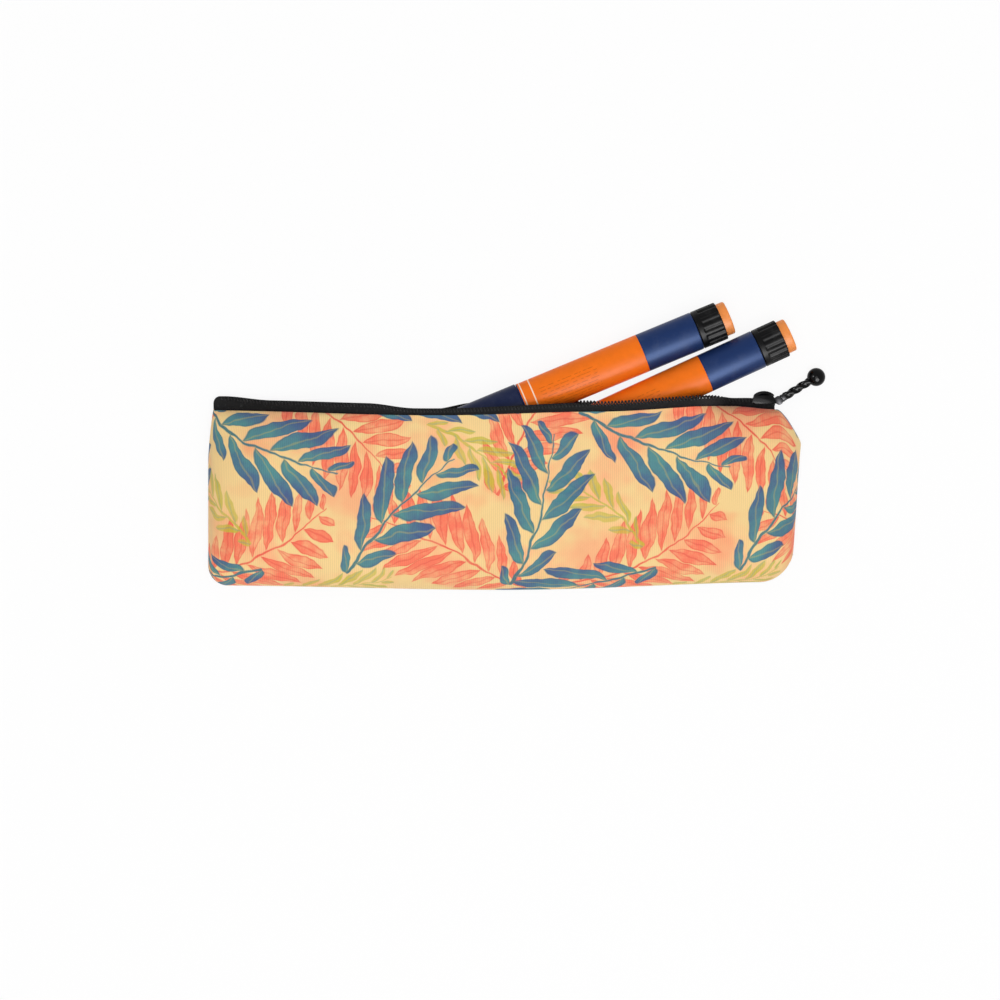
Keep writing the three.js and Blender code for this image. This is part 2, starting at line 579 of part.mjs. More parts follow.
function cartridgeHolder() {
  const flangeEnd = neckEnd - FIT_GAP;
  const flange = NECK_RADIUS - FIT_GAP;
  return turned(ring([
    [noseEnd, noseBore], [noseEnd, NOSE_RADIUS], [holderFront - HOLDER_WALL, NOSE_RADIUS],
    [holderFront, holderRadius], [flangeEnd - 3 * HOLDER_WALL, holderRadius], [flangeEnd - 3 * HOLDER_WALL, flange],
    [flangeEnd, flange], [flangeEnd, NECK_BORE - FIT_GAP], [neckEnd + NECK_LENGTH - HOLDER_WALL, NECK_BORE - FIT_GAP],
    [neckEnd + NECK_LENGTH - HOLDER_WALL, holderBore], [holderFront + FIT_GAP, holderBore], [holderFront + FIT_GAP, noseBore],
  ]), ROUND_INSIDE);
}

function cartridge() {
  return turned(ring([
    [vialMouth, neckGlass - GLASS_WALL], [vialMouth, neckGlass], [glassFront, neckGlass],
    [glassFront + GLASS_WALL, CARTRIDGE_RADIUS], [glassBack, CARTRIDGE_RADIUS], [glassBack, glassBore],
    [glassFront + 2 * GLASS_WALL, glassBore], [glassFront + GLASS_WALL, neckGlass - GLASS_WALL],
  ]), ROUND_INSIDE);
}

const septumFlange = vialMouth - FIT_GAP;
const septumEnd = septumFlange - 2 * CRIMP_WALL;

function septum() {
  const plug = neckGlass - GLASS_WALL - FIT_GAP;
  return turned([
    [septumEnd, 0], [septumEnd, neckGlass], [septumFlange, neckGlass], [septumFlange, plug],
    [septumFlange + 6 * FIT_GAP, plug], [septumFlange + 6 * FIT_GAP, 0],
  ], ROUND_INSIDE);
}

function crimpCap() {
  const lip = septumEnd - FIT_GAP;
  const eye = neckGlass / 2;
  return turned(ring([
    [lip - CRIMP_WALL, eye], [lip - CRIMP_WALL, CRIMP_RADIUS], [glassFront - FIT_GAP, CRIMP_RADIUS],
    [glassFront - FIT_GAP, CRIMP_RADIUS - CRIMP_WALL], [lip, CRIMP_RADIUS - CRIMP_WALL], [lip, eye],
  ]), ROUND_INSIDE);
}

const stopperEnd = glassBack - STOPPER_FROM_END;

function stopper() {
  const radius = glassBore - FIT_GAP;
  return turned([
    [stopperEnd - STOPPER_LENGTH, 0], [stopperEnd - STOPPER_LENGTH + FIT_GAP, radius], [stopperEnd, radius], [stopperEnd, 0],
  ], ROUND_INSIDE);
}

function pistonRod() {
  const start = stopperEnd + FIT_GAP;
  return turned([
    [start, 0], [start, ROD_HEAD], [start + GLASS_WALL, ROD_HEAD], [start + GLASS_WALL, ROD_RADIUS],
    [start + ROD_LENGTH, ROD_RADIUS], [start + ROD_LENGTH, 0],
  ], ROUND_INSIDE);
}

const selectorStart = FIT_GAP;
const spigotEnd = selectorStart - SPIGOT_LENGTH;
const buttonFloor = selectorStart + SELECTOR_FLOOR;

function driveSleeve() {
  const end = buttonFloor - FIT_GAP;
  return turned(ring([
    [end - SLEEVE_LENGTH, SLEEVE_BORE], [end - SLEEVE_LENGTH, SLEEVE_RADIUS], [end, SLEEVE_RADIUS], [end, SLEEVE_BORE],
  ]), ROUND_INSIDE);
}

function doseDrum() {
  const end = spigotEnd - FIT_GAP;
  return turned(ring([
    [end - DRUM_LENGTH, DRUM_BORE], [end - DRUM_LENGTH, DRUM_RADIUS], [end, DRUM_RADIUS], [end, DRUM_BORE],
  ]), ROUND_INSIDE);
}

// The selector's outside is fluted: every second line of its outer wall is sunk
function doseSelector() {
  const recess = PEN_RADIUS - SELECTOR_RIM;
  const geometry = turned(ring([
    [spigotEnd, SELECTOR_BORE], [spigotEnd, DRUM_RADIUS], [selectorStart, DRUM_RADIUS], [selectorStart, PEN_RADIUS],
    [penEnd, PEN_RADIUS], [penEnd, recess], [buttonFloor, recess], [buttonFloor, SELECTOR_BORE],
  ]), 2 * FLUTE_COUNT);
  const position = geometry.attributes.position;
  const sunk = (PEN_RADIUS - FLUTE_DEPTH) / PEN_RADIUS;
  for (let n = 0; n < position.count; n += 1) {
    const y = position.getY(n);
    const z = position.getZ(n);
    const line = Math.round(Math.atan2(z, y) / Math.PI * FLUTE_COUNT);
    if (Math.hypot(y, z) > (recess + PEN_RADIUS) / 2 && line % 2 !== 0) {
      position.setXYZ(n, position.getX(n), y * sunk, z * sunk);
    }
  }
  return geometry;
}

const buttonRadius = PEN_RADIUS - SELECTOR_RIM - FIT_GAP;
const buttonSkirt = buttonFloor + BUTTON_TRAVEL + FIT_GAP;
const springSeat = buttonFloor + FIT_GAP;
const buttonCeiling = buttonEnd - BUTTON_WALL;
const springEnd = buttonCeiling - BUTTON_TRAVEL - FIT_GAP;

function doseButton() {
  const hollow = SPRING_RADIUS + SPRING_WIRE / 2 + FIT_GAP;
  return turned([
    [buttonCeiling, 0], [buttonCeiling, hollow], [buttonSkirt, hollow], [buttonSkirt, buttonRadius],
    [buttonEnd - BUTTON_ROUND, buttonRadius], [buttonEnd - BUTTON_ROUND / 3, buttonRadius - BUTTON_ROUND / 3],
    [buttonEnd, buttonRadius - BUTTON_ROUND], [buttonEnd, 0],
  ], ROUND);
}

// One open helix of wire from its seat in the selector to just short of the pressed button
function buttonSpring() {
  const stepsPerTurn = 8;
  const sides = 5;
  const wire = SPRING_WIRE / 2;
  const steps = stepsPerTurn * SPRING_TURNS;
  const rise = springEnd - springSeat - SPRING_WIRE;
  return loft(span(0, steps).map((k) => {
    const turn = 2 * Math.PI * k / stepsPerTurn;
    const station = springSeat + wire + rise * k / steps;
    return span(0, sides - 1).map((n) => {
      const angle = 2 * Math.PI * n / sides;
      const radius = SPRING_RADIUS + wire * Math.cos(angle);
      return [station - wire * Math.sin(angle), radius * Math.cos(turn), radius * Math.sin(turn)];
    });
  }));
}

function pen(number, start, angle) {
  const navy = () => material(0x34466f, 0.35);
  const clear = () => material(0xcfd8de, 0.1);
  const grey = () => material(0x9aa0a6, 0.5);
  const group = new THREE.Group();
  group.position.set(start.x, start.y, penHeight(0));
  group.rotation.set(0, Math.atan(penSlope), radians(angle), 'ZYX');
  const part = (name, geometry, look) => group.add(piece(`pen_${number}_${name}`, geometry, look));
  part('barrel', barrel(), navy());
  part('label', label(), material(0xf98227, 0.4));
  part('cap', cap(), navy());
  part('cartridge_holder', cartridgeHolder(), clear());
  part('cartridge', cartridge(), clear());
  part('septum', septum(), material(0xb5653c, 0.8));
  part('crimp_cap', crimpCap(), material(0xc9ccd0, 0.3, 1));
  part('stopper', stopper(), material(0x3c3f44, 0.8));
  part('piston_rod', pistonRod(), grey());
  part('drive_sleeve', driveSleeve(), grey());
  part('dose_drum', doseDrum(), material(0xf2f2ee, 0.5));
  part('dose_selector', doseSelector(), material(0x1a1a1b, 0.45));
  part('dose_button', doseButton(), material(0xf5903f, 0.35));
  part('button_spring', buttonSpring(), material(0xb8bcc2, 0.3, 1));
  return group;
}

const insulinCoolingCase = new THREE.Group();
const frontTape = (p) => p.ceiling + frontTapeRise;
const backTape = (p) => p.back + backTapeRise;
insulinCoolingCase.add(
  ...panels(),
  ...gelPockets(),
  zipTape('zip_tape_front', frontTape),
  zipTape('zip_tape_back', backTape),
  zipCoil('zip_coil_front', frontTape),
  zipCoil('zip_coil_back', backTape),
  slider(),
  pull(),
  pen(1, upperStart, upperAngle),
  pen(2, lowerStart, PEN_ANGLE),
);

export default insulinCoolingCase;
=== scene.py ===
"""Insulin cooling case: a printed gel pouch with an open zip and two pens in its mouth.

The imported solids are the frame. Every piece here is a numpy surface that lies where its solid lies. Sizes in this
file are millimetres, as on the part's drawing, and a mesh is scaled to metres when it is made. Properties with a
length unit are metres, as everywhere in Blender.
"""

import json

import bmesh
import bpy
import numpy as np
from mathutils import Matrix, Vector


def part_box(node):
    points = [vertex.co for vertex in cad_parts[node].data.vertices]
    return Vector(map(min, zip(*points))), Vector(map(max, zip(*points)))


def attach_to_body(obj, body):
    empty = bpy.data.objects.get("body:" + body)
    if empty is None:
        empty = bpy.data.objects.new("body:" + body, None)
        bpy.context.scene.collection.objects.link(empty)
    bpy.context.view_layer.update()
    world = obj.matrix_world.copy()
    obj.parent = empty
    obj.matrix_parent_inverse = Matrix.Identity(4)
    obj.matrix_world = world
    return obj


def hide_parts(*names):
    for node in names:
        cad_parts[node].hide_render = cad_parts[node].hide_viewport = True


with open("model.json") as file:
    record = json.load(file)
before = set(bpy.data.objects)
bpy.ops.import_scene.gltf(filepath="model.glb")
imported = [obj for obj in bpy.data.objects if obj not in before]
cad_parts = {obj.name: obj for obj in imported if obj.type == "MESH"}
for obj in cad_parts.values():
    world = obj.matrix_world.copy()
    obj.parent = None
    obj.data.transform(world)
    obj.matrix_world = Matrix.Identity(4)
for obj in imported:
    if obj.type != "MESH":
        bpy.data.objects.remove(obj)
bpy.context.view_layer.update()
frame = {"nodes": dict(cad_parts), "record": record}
BODY_OF = {node: body for body, nodes in frame["record"]["behaviour"]["bodies"].items() for node in nodes}

bl_info = {
    "name": "Insulin Cooling Case",
    "version": (1, 0, 0),
    "blender": (4, 5, 0),
    "location": "View3D > Sidebar > Cooling Case",
    "description": "Builds a printed cooling pouch with its zip and two insulin pens",
    "category": "Object",
}

MM = 0.001
UP = np.array([0.0, 0.0, 1.0])

# Gaps between pieces
FIT_GAP = 0.3
LAYER_GAP = 0.3
TAPE_GAP = 0.2

# Pouch outline
LENGTH = 255.0
HEIGHT = 75.3
LEFT = -LENGTH / 2
RIGHT = LENGTH / 2
HEM_DROP = 36.8
HEM_BOW = 1.9
HEM_RISE_RIGHT = 1.6
CORNER_LEFT = 8.6
CORNER_RIGHT = 15.5
LEFT_LEAN = 2.2
RIGHT_LEAN = 3.0
CHAMFER_RUN = 9.9
CHAMFER_DROP = 14.2
CHAMFER_START = RIGHT - CHAMFER_RUN
ZIP_Y = HEIGHT - HEM_DROP
ZIP_SAG = 2.4
ZIP_SAG_MOUTH = 0.8
ZIP_RISE = 1.9

# Layers of the wall
CLOTH = 0.6
LINING = 0.4
GEL = 1.6
GEL_AT_MOUTH = 0.6
GEL_TAPER = 17.0
SEAM_LIFT = 3.6
DOME_RUN = 28.0
BACK_RUN = 20.0
BACK_INSET = 0.45
LINING_INSET = 3.4
LINING_TOP = 2.8
GEL_INSET = 7.0
GEL_TOP = 10.6
GEL_CROWN = 4.0
POCKET_COUNT = 4
SEAM_INSET = 0.45
SEAM_RADIUS = 0.46

# Zip
TAPE = 0.4
TAPE_LAP = 3.4
TAPE_SHOW = 3.9
TAPE_SHOW_LEFT = 2.5
TAPE_SHOW_LEAST = 0.7
TAPE_MOUTH_RISE = 2.1
TAPE_SHUT_SHOW = 1.25
TAPE_SLIDER_SHOW = 1.9
TAPE_END_SHOW = 1.1
TAPE_SPREAD = 3.2
TAPE_PUSHED = 2.6
PUSH_LEFT = -32.0
PUSH_RIGHT = 75.0
TAPE_START = LEFT + 0.1
TAPE_END = 116.8
TAPE_CORNER = 3.0
STITCH_RADIUS = 0.16
STITCH_RISE = 0.75
STITCH_RINGS = 7
STITCH_SIDES = 6
COIL_WIDTH = 2.0
TOOTH_REACH = 0.5
COIL_DEPTH = 1.2
COIL_WIRE = 0.31
SLIDER_RIGHT = RIGHT - 11
SLIDER_LEFT = SLIDER_RIGHT - 10
ZIP_SHUT_LEFT = SLIDER_LEFT - 8.6
COIL_END = 107.9
TEETH_BARE = 28.0
TEETH_MESH = 88.0
TEETH_MESH_END = 109.5
HINGE = (118.0, 42.8, 4.35)
PULL_ANGLE = np.radians(32)
PULL_LENGTH = 19.2
SLIDER_EDGE = 0.28
SLIDER_TAPER = 0.16
TAPER_START = 42.0
TAPER_RUN = 2.8
CHEEK_RADIUS = (1.4, 1.95)
CHEEK_GAP = 0.8
CHEEK_LAYERS = (0, 0.1, 0.3, 0.4)
CHEEK_SHARES = (0.9, 1, 1, 0.9)
PIN_RADIUS = 0.5
COLLAR_START = 1.5
COLLAR_RADII = (1.4, 1.8, 1.55, 1.7, 1.5)
BAR_START = 3.2
DOME_MIDDLE = (111.8, 43.3, 4.35)
DOME_REACH = (4.6, 3.05, 2.7)
DOME_LIFT = np.radians((16, 88))
RIB_RADIUS = 0.6
RIB_ARC = np.radians((28, 152))
BAR_RADIUS = 1.62
BAR_TWIST_DEPTH = 0.22
BAR_TURNS = 1.07
BALL_RADIUS = 3.95
BALL_SOCKET = 2.0

# Pens: the middle of the barrel's outer end, and the axis out of the mouth
PENS = {
    1: ((82.62969, 72.79622, 8.97167), (0.923613, 0.382573, -0.024035)),
    2: ((109.0, 64.9, 8.97167), (0.908973, 0.416161, -0.024035)),
}
PEN_RADIUS = 8.4
CAP_RADIUS = 8.7
BARREL_LENGTH = 81.0
LABEL_END = -80.4
LABEL_START = -25.4
LABEL_BED = 7.8
STRIPE_MIDDLES = (0.7, 4.9)
NECK_END = -90.0
NECK_RADIUS = 7.5
CAP_MOUTH = -81.3
CAP_TIP = -143.5
SELECTOR_START = 0.3
SELECTOR_END = 11.3
BUTTON_END = 15.2
BUTTON_RADIUS = 7.3
FLUTES = 16
FLUTE_DEPTH = 0.5
FLUTE_START = 2.4
FLUTE_RISE = 0.6
THREAD_PITCH = 1.8
THREAD_DEPTH = 0.14
THREAD_LEFT = -80.5
THREAD_RIGHT = -11.5
SPRING_SEAT = 8.65
SPRING_TOP = 11.25
SPRING_RADIUS = 4.75
SPRING_WIRE = 0.34
SPRING_TURNS = 4

# Cloth simulation, and how much of its folds is kept
SIM_STEP = 2
SIM_FRAMES = 24
SIM_SCALE = 10.0
SIM_SLACK = 0.012
SIM_PRESSURE = 0.3
FOLD_REACH = 7.0
FOLD_SHARE = 0.8
FOLD_LIFT = 0.8
FOLD_CAP = 1.8

# Folds and ripples: heights, wave lengths, and the runs over which they grow from a sewn edge
UNEVEN_HEIGHT = 0.15
UNEVEN_LENGTH = 19.0
UNEVEN_RUN = 6.0
FOLD_RUN = 4.0
DENT_LENGTH = 74.0
DENT_SIDE_RUN = 26.0
DENT_ZIP_RUN = 22.0
GATHER_GAIN = 2.4
GATHER_START = 1.1
SIDE_GATHER_REACH = 5.0
SIDE_GATHER_LENGTH = 8.0
ZIP_GATHER_REACH = 6.5
ZIP_GATHER_LENGTH = 10.0
FRONT_GATHERS = 0.6
BACK_GATHERS = 0.7
LINING_RIPPLE = 0.08
LINING_RIPPLE_LENGTH = 17.0
TAPE_RIPPLE = 0.12
TAPE_RIPPLE_LENGTH = 13.0
GEL_LUMP = 0.12
GEL_LUMP_LENGTH = 6.0

# Cloudy fields: how many waves are added up, their greatest phase, and what brings their sum within -1 to 1
WAVE_COUNT = 9
WAVE_PHASE = 6.28
WAVE_SPREAD = 1.6

# Lamps: place and size in metres, and share of the lamp power
SOFT_LAMP = ((0.15, -0.35, 1.8), 1.2, 1)
GLEAM_LAMP = ((0.46, -1.1, 1.34), 1.4, 5.2)
SPARK_LAMP = ((-0.94, 0.27, 1.26), 0.4, 0.6)
FLOOR_DROP = 0.02
FLOOR_GLOW = 0.9

# Heights and places that follow from the sizes above
CEILING = 22.43
CEILING_AT_SEAM = 1.9
FRONT_STACK = LINING + LAYER_GAP + GEL + LAYER_GAP
SEAM_MID = SEAM_LIFT + CLOTH + LAYER_GAP / 2
FRONT_TAPE_RISE = FRONT_STACK - TAPE_GAP - TAPE / 2
BACK_TAPE_RISE = CLOTH + TAPE_GAP + TAPE / 2
FRONT_SHUT = (SEAM_MID + TAPE_SPREAD / 2 - FRONT_TAPE_RISE - CEILING_AT_SEAM) / (CEILING - CEILING_AT_SEAM)
BACK_SHUT = 1 - (SEAM_MID - TAPE_SPREAD / 2 - BACK_TAPE_RISE) / SEAM_LIFT
MOUTH_OPEN_LEFT = -27.0
MOUTH_OPEN_RIGHT = 79.5


def srgb(red, green, blue):
    """Linear colour of 0 to 255 values as a screen shows them."""
    shown = np.array([red, green, blue]) / 255
    linear = np.where(shown <= 0.04045, shown / 12.92, ((shown + 0.055) / 1.055) ** 2.4)
    return tuple(float(part) for part in linear)


def colour(name, description, red, green, blue):
    """A colour property, given as a screen shows it."""
    return bpy.props.FloatVectorProperty(
        name=name, description=description, default=srgb(red, green, blue), subtype="COLOR", min=0, max=1, size=3
    )


def length(name, description, millimetres):
    """A length property, given in millimetres and kept in metres."""
    return bpy.props.FloatProperty(
        name=name, description=description, default=millimetres * MM, unit="LENGTH", min=0
    )


class PouchProperties(bpy.types.PropertyGroup):
    """Cloth, print and gel of the pouch"""

    pucker: length("Seam Pucker", "Height of the small gathers along the sewn edges", 0.3)
    sag: length("Sag", "Depth of the broad soft dents in the cloth", 0.55)
    rib_pitch: length("Rib Pitch", "Distance between two ribs of the weave", 0.86)
    repeat_width: length("Print Repeat Width", "Width of one repeat of the print", 168)
    repeat_height: length("Print Repeat Height", "Height of one repeat of the print", 118)
    cream: colour("Cream", "Light ground of the print", 248, 213, 148)
    peach: colour("Peach", "Warm ground of the print", 252, 184, 134)
    coral: colour("Coral", "Fern fronds", 252, 118, 90)
    red: colour("Red", "Edges and ribs of the fern fronds", 238, 78, 66)
    teal: colour("Teal", "Light end of the long leaves", 58, 142, 146)
    blue: colour("Blue", "Dark end of the long leaves", 40, 92, 142)
    moss: colour("Moss", "Small yellow-green sprigs", 203, 188, 62)
    lining: colour("Lining", "Inside cloth", 58, 61, 69)
    gel: colour("Gel", "Swollen gel in the pockets", 186, 214, 220)
    seam_thread: colour("Seam Thread", "Thread of the side seams", 226, 150, 104)


class ZipProperties(bpy.types.PropertyGroup):
    """Tape, teeth, slider and pull"""

    tooth_pitch: length("Tooth Pitch", "Distance between two turns of the coil", 1.44)
    stitch_pitch: length("Stitch Pitch", "Distance between two stitches of the tape", 2.4)
    tape: colour("Tape", "Woven zip tape", 21, 21, 22)
    coil: colour("Coil", "Nylon coil", 24, 24, 25)
    slider: colour("Slider", "Enamelled slider", 7, 7, 8)
    collar: colour("Collar", "Worn metal of the pull's collar", 46, 46, 48)
    pull: colour("Pull", "Twisted bar and ball", 5, 5, 6)


class PenProperties(bpy.types.PropertyGroup):
    """Outside colours and small sizes of the pens"""

    edge_round: length("Edge Round", "Rounding of the moulded edges", 0.35)
    stripe: length("Stripe Width", "Width of each white stripe on the label", 0.55)
    navy: colour("Barrel", "Barrel", 24, 45, 90)
    # Cap colour: the barrel's navy darkened as painted shade, for the shade that the pouch casts over the cap
    navy_in_painted_shade: colour("Cap", "Cap", 22, 32, 66)
    label: colour("Label", "Wrapped label", 247, 118, 26)
    label_ink: colour("Label Ink", "Fine ruled lines on the label", 196, 88, 18)
    black: colour("Selector", "Dose selector", 6, 6, 7)
    button: colour("Button", "Dose button", 240, 146, 74)
    liquid: colour("Cartridge Tint", "Glass cartridge", 214, 228, 232)


class StageProperties(bpy.types.PropertyGroup):
    """Camera, floor and light"""

    frame_width: length("Frame Width", "Width of the floor that the picture shows", 430)
    frame_shift: length("Frame Shift", "How far the picture's middle lies left of the pouch's middle", 1.9)
    camera_height: length("Camera Height", "Distance of the camera above the floor", 2200)
    floor_size: length("Floor Size", "Side of the square floor", 6000)
    floor: colour("Floor", "Pale floor", 247, 247, 247)
    lamp_power: bpy.props.FloatProperty(
        name="Lamp Power", description="Power of the large lamp", default=17, min=0, subtype="POWER"
    )
    sky: bpy.props.FloatProperty(
        name="Sky", description="Share of the light that comes from all round", default=0.56, min=0, max=1,
        subtype="FACTOR",
    )


def lerp(low, high, t):
    """Straight line from low at t = 0 to high at t = 1."""
    return low + (high - low) * t


def smooth(t):
    """S-curve from 0 to 1: three t squared less two t cubed."""
    t = np.clip(t, 0, 1)
    return t * t * (3 - 2 * t)


def bulge(distance, run):
    """Quarter ellipse that leaves an edge upright and is level after the run."""
    return np.sqrt(np.maximum(0, 1 - (1 - np.clip(distance / run, 0, 1)) ** 2))


def keyed(keys, place):
    """S-curves from one (place, value) key to the next."""
    places, values = np.array(keys, float).T
    step = np.clip(np.searchsorted(places, place, side="right"), 1, len(places) - 1)
    t = (place - places[step - 1]) / (places[step] - places[step - 1])
    return lerp(values[step - 1], values[step], smooth(t))


def waves(x, y, length_mm, seed):
    """Cloudy field from -1 to 1: sine waves of about one length, in directions and phases fixed by the seed."""
    chance = np.random.default_rng(seed)
    turns = chance.uniform(0, np.pi, WAVE_COUNT)
    phases = chance.uniform(0, WAVE_PHASE, WAVE_COUNT)
    stretches = chance.uniform(0.7, 1.5, WAVE_COUNT)
    total = np.zeros(np.broadcast(x, y).shape)
    for turn, phase, stretch in zip(turns, phases, stretches):
        wave = 2 * np.pi / (length_mm * stretch)
        total = total + np.sin(wave * (x * np.cos(turn) + y * np.sin(turn)) + phase)
    return total / WAVE_COUNT**0.5 / WAVE_SPREAD


def share(x):
    """Place along the pouch, 0 at its left end and 1 at its right."""
    return (x - LEFT) / LENGTH


def corner_rise(distance, radius):
    """Height of a round corner's arc above the straight hem."""
    reach = np.clip(radius - distance, 0, radius)
    return radius - np.sqrt(radius**2 - reach**2)


def hem_y(x):
    """Bottom edge: a shallow bow with a round corner at each end."""
    bow = keyed([(0, 0), (0.5, -HEM_BOW), (1, HEM_RISE_RIGHT)], share(x))
    return -HEM_DROP + bow + corner_rise(x - LEFT, CORNER_LEFT) + corner_rise(RIGHT - x, CORNER_RIGHT)


def zip_y(x):
    """Top edge: sags in the middle, rises to the slider and falls away in a round shoulder after it."""
    wave = keyed(
        [(0, 0), (0.39, -ZIP_SAG), (0.66, -ZIP_SAG_MOUTH), (0.88, ZIP_RISE), (0.96, ZIP_RISE / 4)], share(x)
    )
    return ZIP_Y + wave - CHAMFER_DROP * np.clip((x - CHAMFER_START) / CHAMFER_RUN, 0, 1) ** 1.4


def tape_show(x, side):
    """Width of zip tape that stands above the top edge; the back one is pushed out under the pens."""
    width = keyed(
        [(0.02, TAPE_SHOW), (0.1, TAPE_SHOW_LEFT), (0.27, TAPE_SHOW_LEFT), (0.35, TAPE_SHOW_LEAST),
         (0.8, TAPE_MOUTH_RISE), (0.86, TAPE_MOUTH_RISE), (share(ZIP_SHUT_LEFT), TAPE_SHUT_SHOW),
         (share(SLIDER_LEFT + 2), TAPE_SLIDER_SHOW), (share(SLIDER_RIGHT - 1), TAPE_END_SHOW)],
        share(x),
    )
    pushed = keyed(
        [(PUSH_LEFT, 0), (-13, TAPE_PUSHED), (20, 0.8 * TAPE_PUSHED), (45, 0.2 * TAPE_PUSHED), (PUSH_RIGHT, 0)],
        np.clip(x, PUSH_LEFT, PUSH_RIGHT),
    )
    return width + pushed if side == "back" else width


def mouth(x, shut):
    """How far the mouth stands open along the zip: shut at both ends, 1 where the pens pass."""
    return keyed(
        [(LEFT, shut), (LEFT + DOME_RUN / 3, shut), (MOUTH_OPEN_LEFT, 1), (MOUTH_OPEN_RIGHT, 1),
         (ZIP_SHUT_LEFT, shut), (SLIDER_RIGHT - 1.5, shut), (CHAMFER_START, 0), (RIGHT, 0)],
        x,
    )


def wall(nominal, v):
    """Place of the pouch wall at a length along X and a share v of the height from hem to zip.

    The front ceiling is a dome that leaves the side and bottom seams upright, blended into the mouth's own height
    at the zip. The back lies flat and turns up to the seams. Both share one outline.
    """
    top = (1 - v) * HEIGHT
    bottom = v * HEIGHT
    left = nominal - LEFT
    right = RIGHT - nominal
    sides = bulge(left, DOME_RUN) * bulge(right, DOME_RUN) * bulge(bottom, DOME_RUN)
    dome = lerp(mouth(nominal, FRONT_SHUT), sides, bulge(top, DOME_RUN))
    flat_sides = smooth(left / BACK_RUN) * smooth(right / BACK_RUN) * smooth(bottom / BACK_RUN)
    flat = lerp(mouth(nominal, BACK_SHUT), flat_sides, smooth(top / BACK_RUN))
    right_lean = RIGHT_LEAN * (1 - v) * np.maximum(0, nominal / RIGHT) ** 3
    left_lean = LEFT_LEAN * np.clip((v - 0.68) / 0.32, 0, 1) ** 1.5 * np.maximum(0, nominal / LEFT) ** 3
    return {
        "x": nominal + left_lean - right_lean,
        "y": lerp(hem_y(nominal), zip_y(nominal), v),
        "ceiling": lerp(CEILING_AT_SEAM, CEILING, dome),
        "back": SEAM_LIFT * (1 - flat),
        "pocket": lerp(GEL_AT_MOUTH, GEL, np.clip((top - GEL_TOP) / GEL_TAPER, 0, 1)),
        "edge": np.minimum(np.minimum(left, right), bottom),
        "top": top,
    }


def spaced(low, high, low_run, high_run, fine, step):
    """Places from low to high: crowded towards each end as a circle's arc seen from the side, even between."""
    turn = np.linspace(0, np.pi / 2, fine)
    middle = np.arange(low + low_run, high - high_run, step)[1:]
    crowd = 1 - np.cos(turn)
    return np.concatenate([low + low_run * crowd, middle, (high - high_run * crowd)[::-1]])


def wall_grid(inset, top_inset, step):
    """The wall on a grid of columns and rows, from an inset inside the seams up to an inset under the zip."""
    columns = spaced(LEFT + inset, RIGHT - inset, DOME_RUN, DOME_RUN, 36, step)
    columns = np.sort(np.append(columns, CHAMFER_START))
    rows = spaced(inset / HEIGHT, 1 - top_inset / HEIGHT, DOME_RUN / HEIGHT, DOME_RUN / HEIGHT, 32, step / HEIGHT)
    return wall(columns[:, None], rows[None, :])


def developed(points):
    """Flat print coordinates of a grid: arc length along its middle row and along its middle column."""
    across = points[:, points.shape[1] // 2]
    upwards = points[points.shape[0] // 2]
    along = np.concatenate([[0], np.cumsum(np.linalg.norm(np.diff(across, axis=0), axis=1))])
    rise = np.concatenate([[0], np.cumsum(np.linalg.norm(np.diff(upwards, axis=0), axis=1))])
    return np.stack(np.broadcast_arrays(along[:, None], rise[None, :]), axis=-1)


def grid_quads(rows, columns, closed_rows=False, closed_columns=False):
    """Corner numbers of the quads of a grid, with the last row or column joined to the first where closed."""
    row = np.arange(rows if closed_rows else rows - 1)[:, None]
    column = np.arange(columns if closed_columns else columns - 1)[None, :]
    near, far = row * columns, (row + 1) % rows * columns
    left, right = column, (column + 1) % columns
    return np.stack([near + left, far + left, far + right, near + right], axis=-1).reshape(-1, 4)


def show_mesh(mesh):
    """An object of a mesh in the scene, shaded smooth."""
    mesh.polygons.foreach_set("use_smooth", np.ones(len(mesh.polygons), bool))
    piece = bpy.data.objects.new(mesh.name, mesh)
    bpy.context.scene.collection.objects.link(piece)
    return piece


def make_piece(name, points, quads, uv=None, caps=()):
    """A mesh object from an array of points in millimetres, corner numbers, and flat coordinates in millimetres."""
    mesh = bpy.data.meshes.new(name)
    vertices = np.asarray(points, float).reshape(-1, 3) * MM
    mesh.from_pydata(vertices, [], [*quads.tolist(), *caps])
    if uv is not None:
        corners = np.empty(len(mesh.loops), np.int32)
        mesh.loops.foreach_get("vertex_index", corners)
        layer = mesh.uv_layers.new(name="flat")
        layer.data.foreach_set("uv", np.asarray(uv, float).reshape(-1, 2)[corners].ravel().astype(np.float32))
    mesh.validate()
    mesh.update()
    return show_mesh(mesh)


def attach(piece, body, finish):
    """Puts a finished piece on a body, with its material."""
    piece.data.materials.append(finish)
    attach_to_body(piece, body)
    return piece


def settle(piece, node, slot, finish):
    """Puts a finished piece in the place of its solid."""
    attach(piece, BODY_OF[node], finish)
    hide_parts(node)
    return piece


def sew(name, node, material, points, flat, thickness, offset, flip=False):
    """A sheet from a grid of points, in the place of its solid.

    The material is the record's slot and the finish. Offset -1 grows the thickness under the surface and 0 to both
    sides. Flip turns the faces over.
    """
    quads = grid_quads(*points.shape[:2])
    piece = make_piece(name, points, quads[:, ::-1] if flip else quads, flat)
    settle(piece, node, *material)
    solid = piece.modifiers.new("thickness", "SOLIDIFY")
    solid.thickness = thickness * MM
    solid.offset = offset
    return piece


def sheet_area(points):
    """Area of a grid surface in square metres: half the cross product of each quad's diagonals."""
    one = points[1:, 1:] - points[:-1, :-1]
    other = points[:-1, 1:] - points[1:, :-1]
    return float(np.linalg.norm(np.cross(one, other), axis=-1).sum() / 2 * MM * MM)


def declare_cloth(points):
    """Works out the area of a sheet, and leaves it unused."""
    sheet_area(points)


def unit(vectors):
    """Vectors of length 1 in the same directions."""
    return vectors / np.linalg.norm(vectors, axis=-1, keepdims=True)


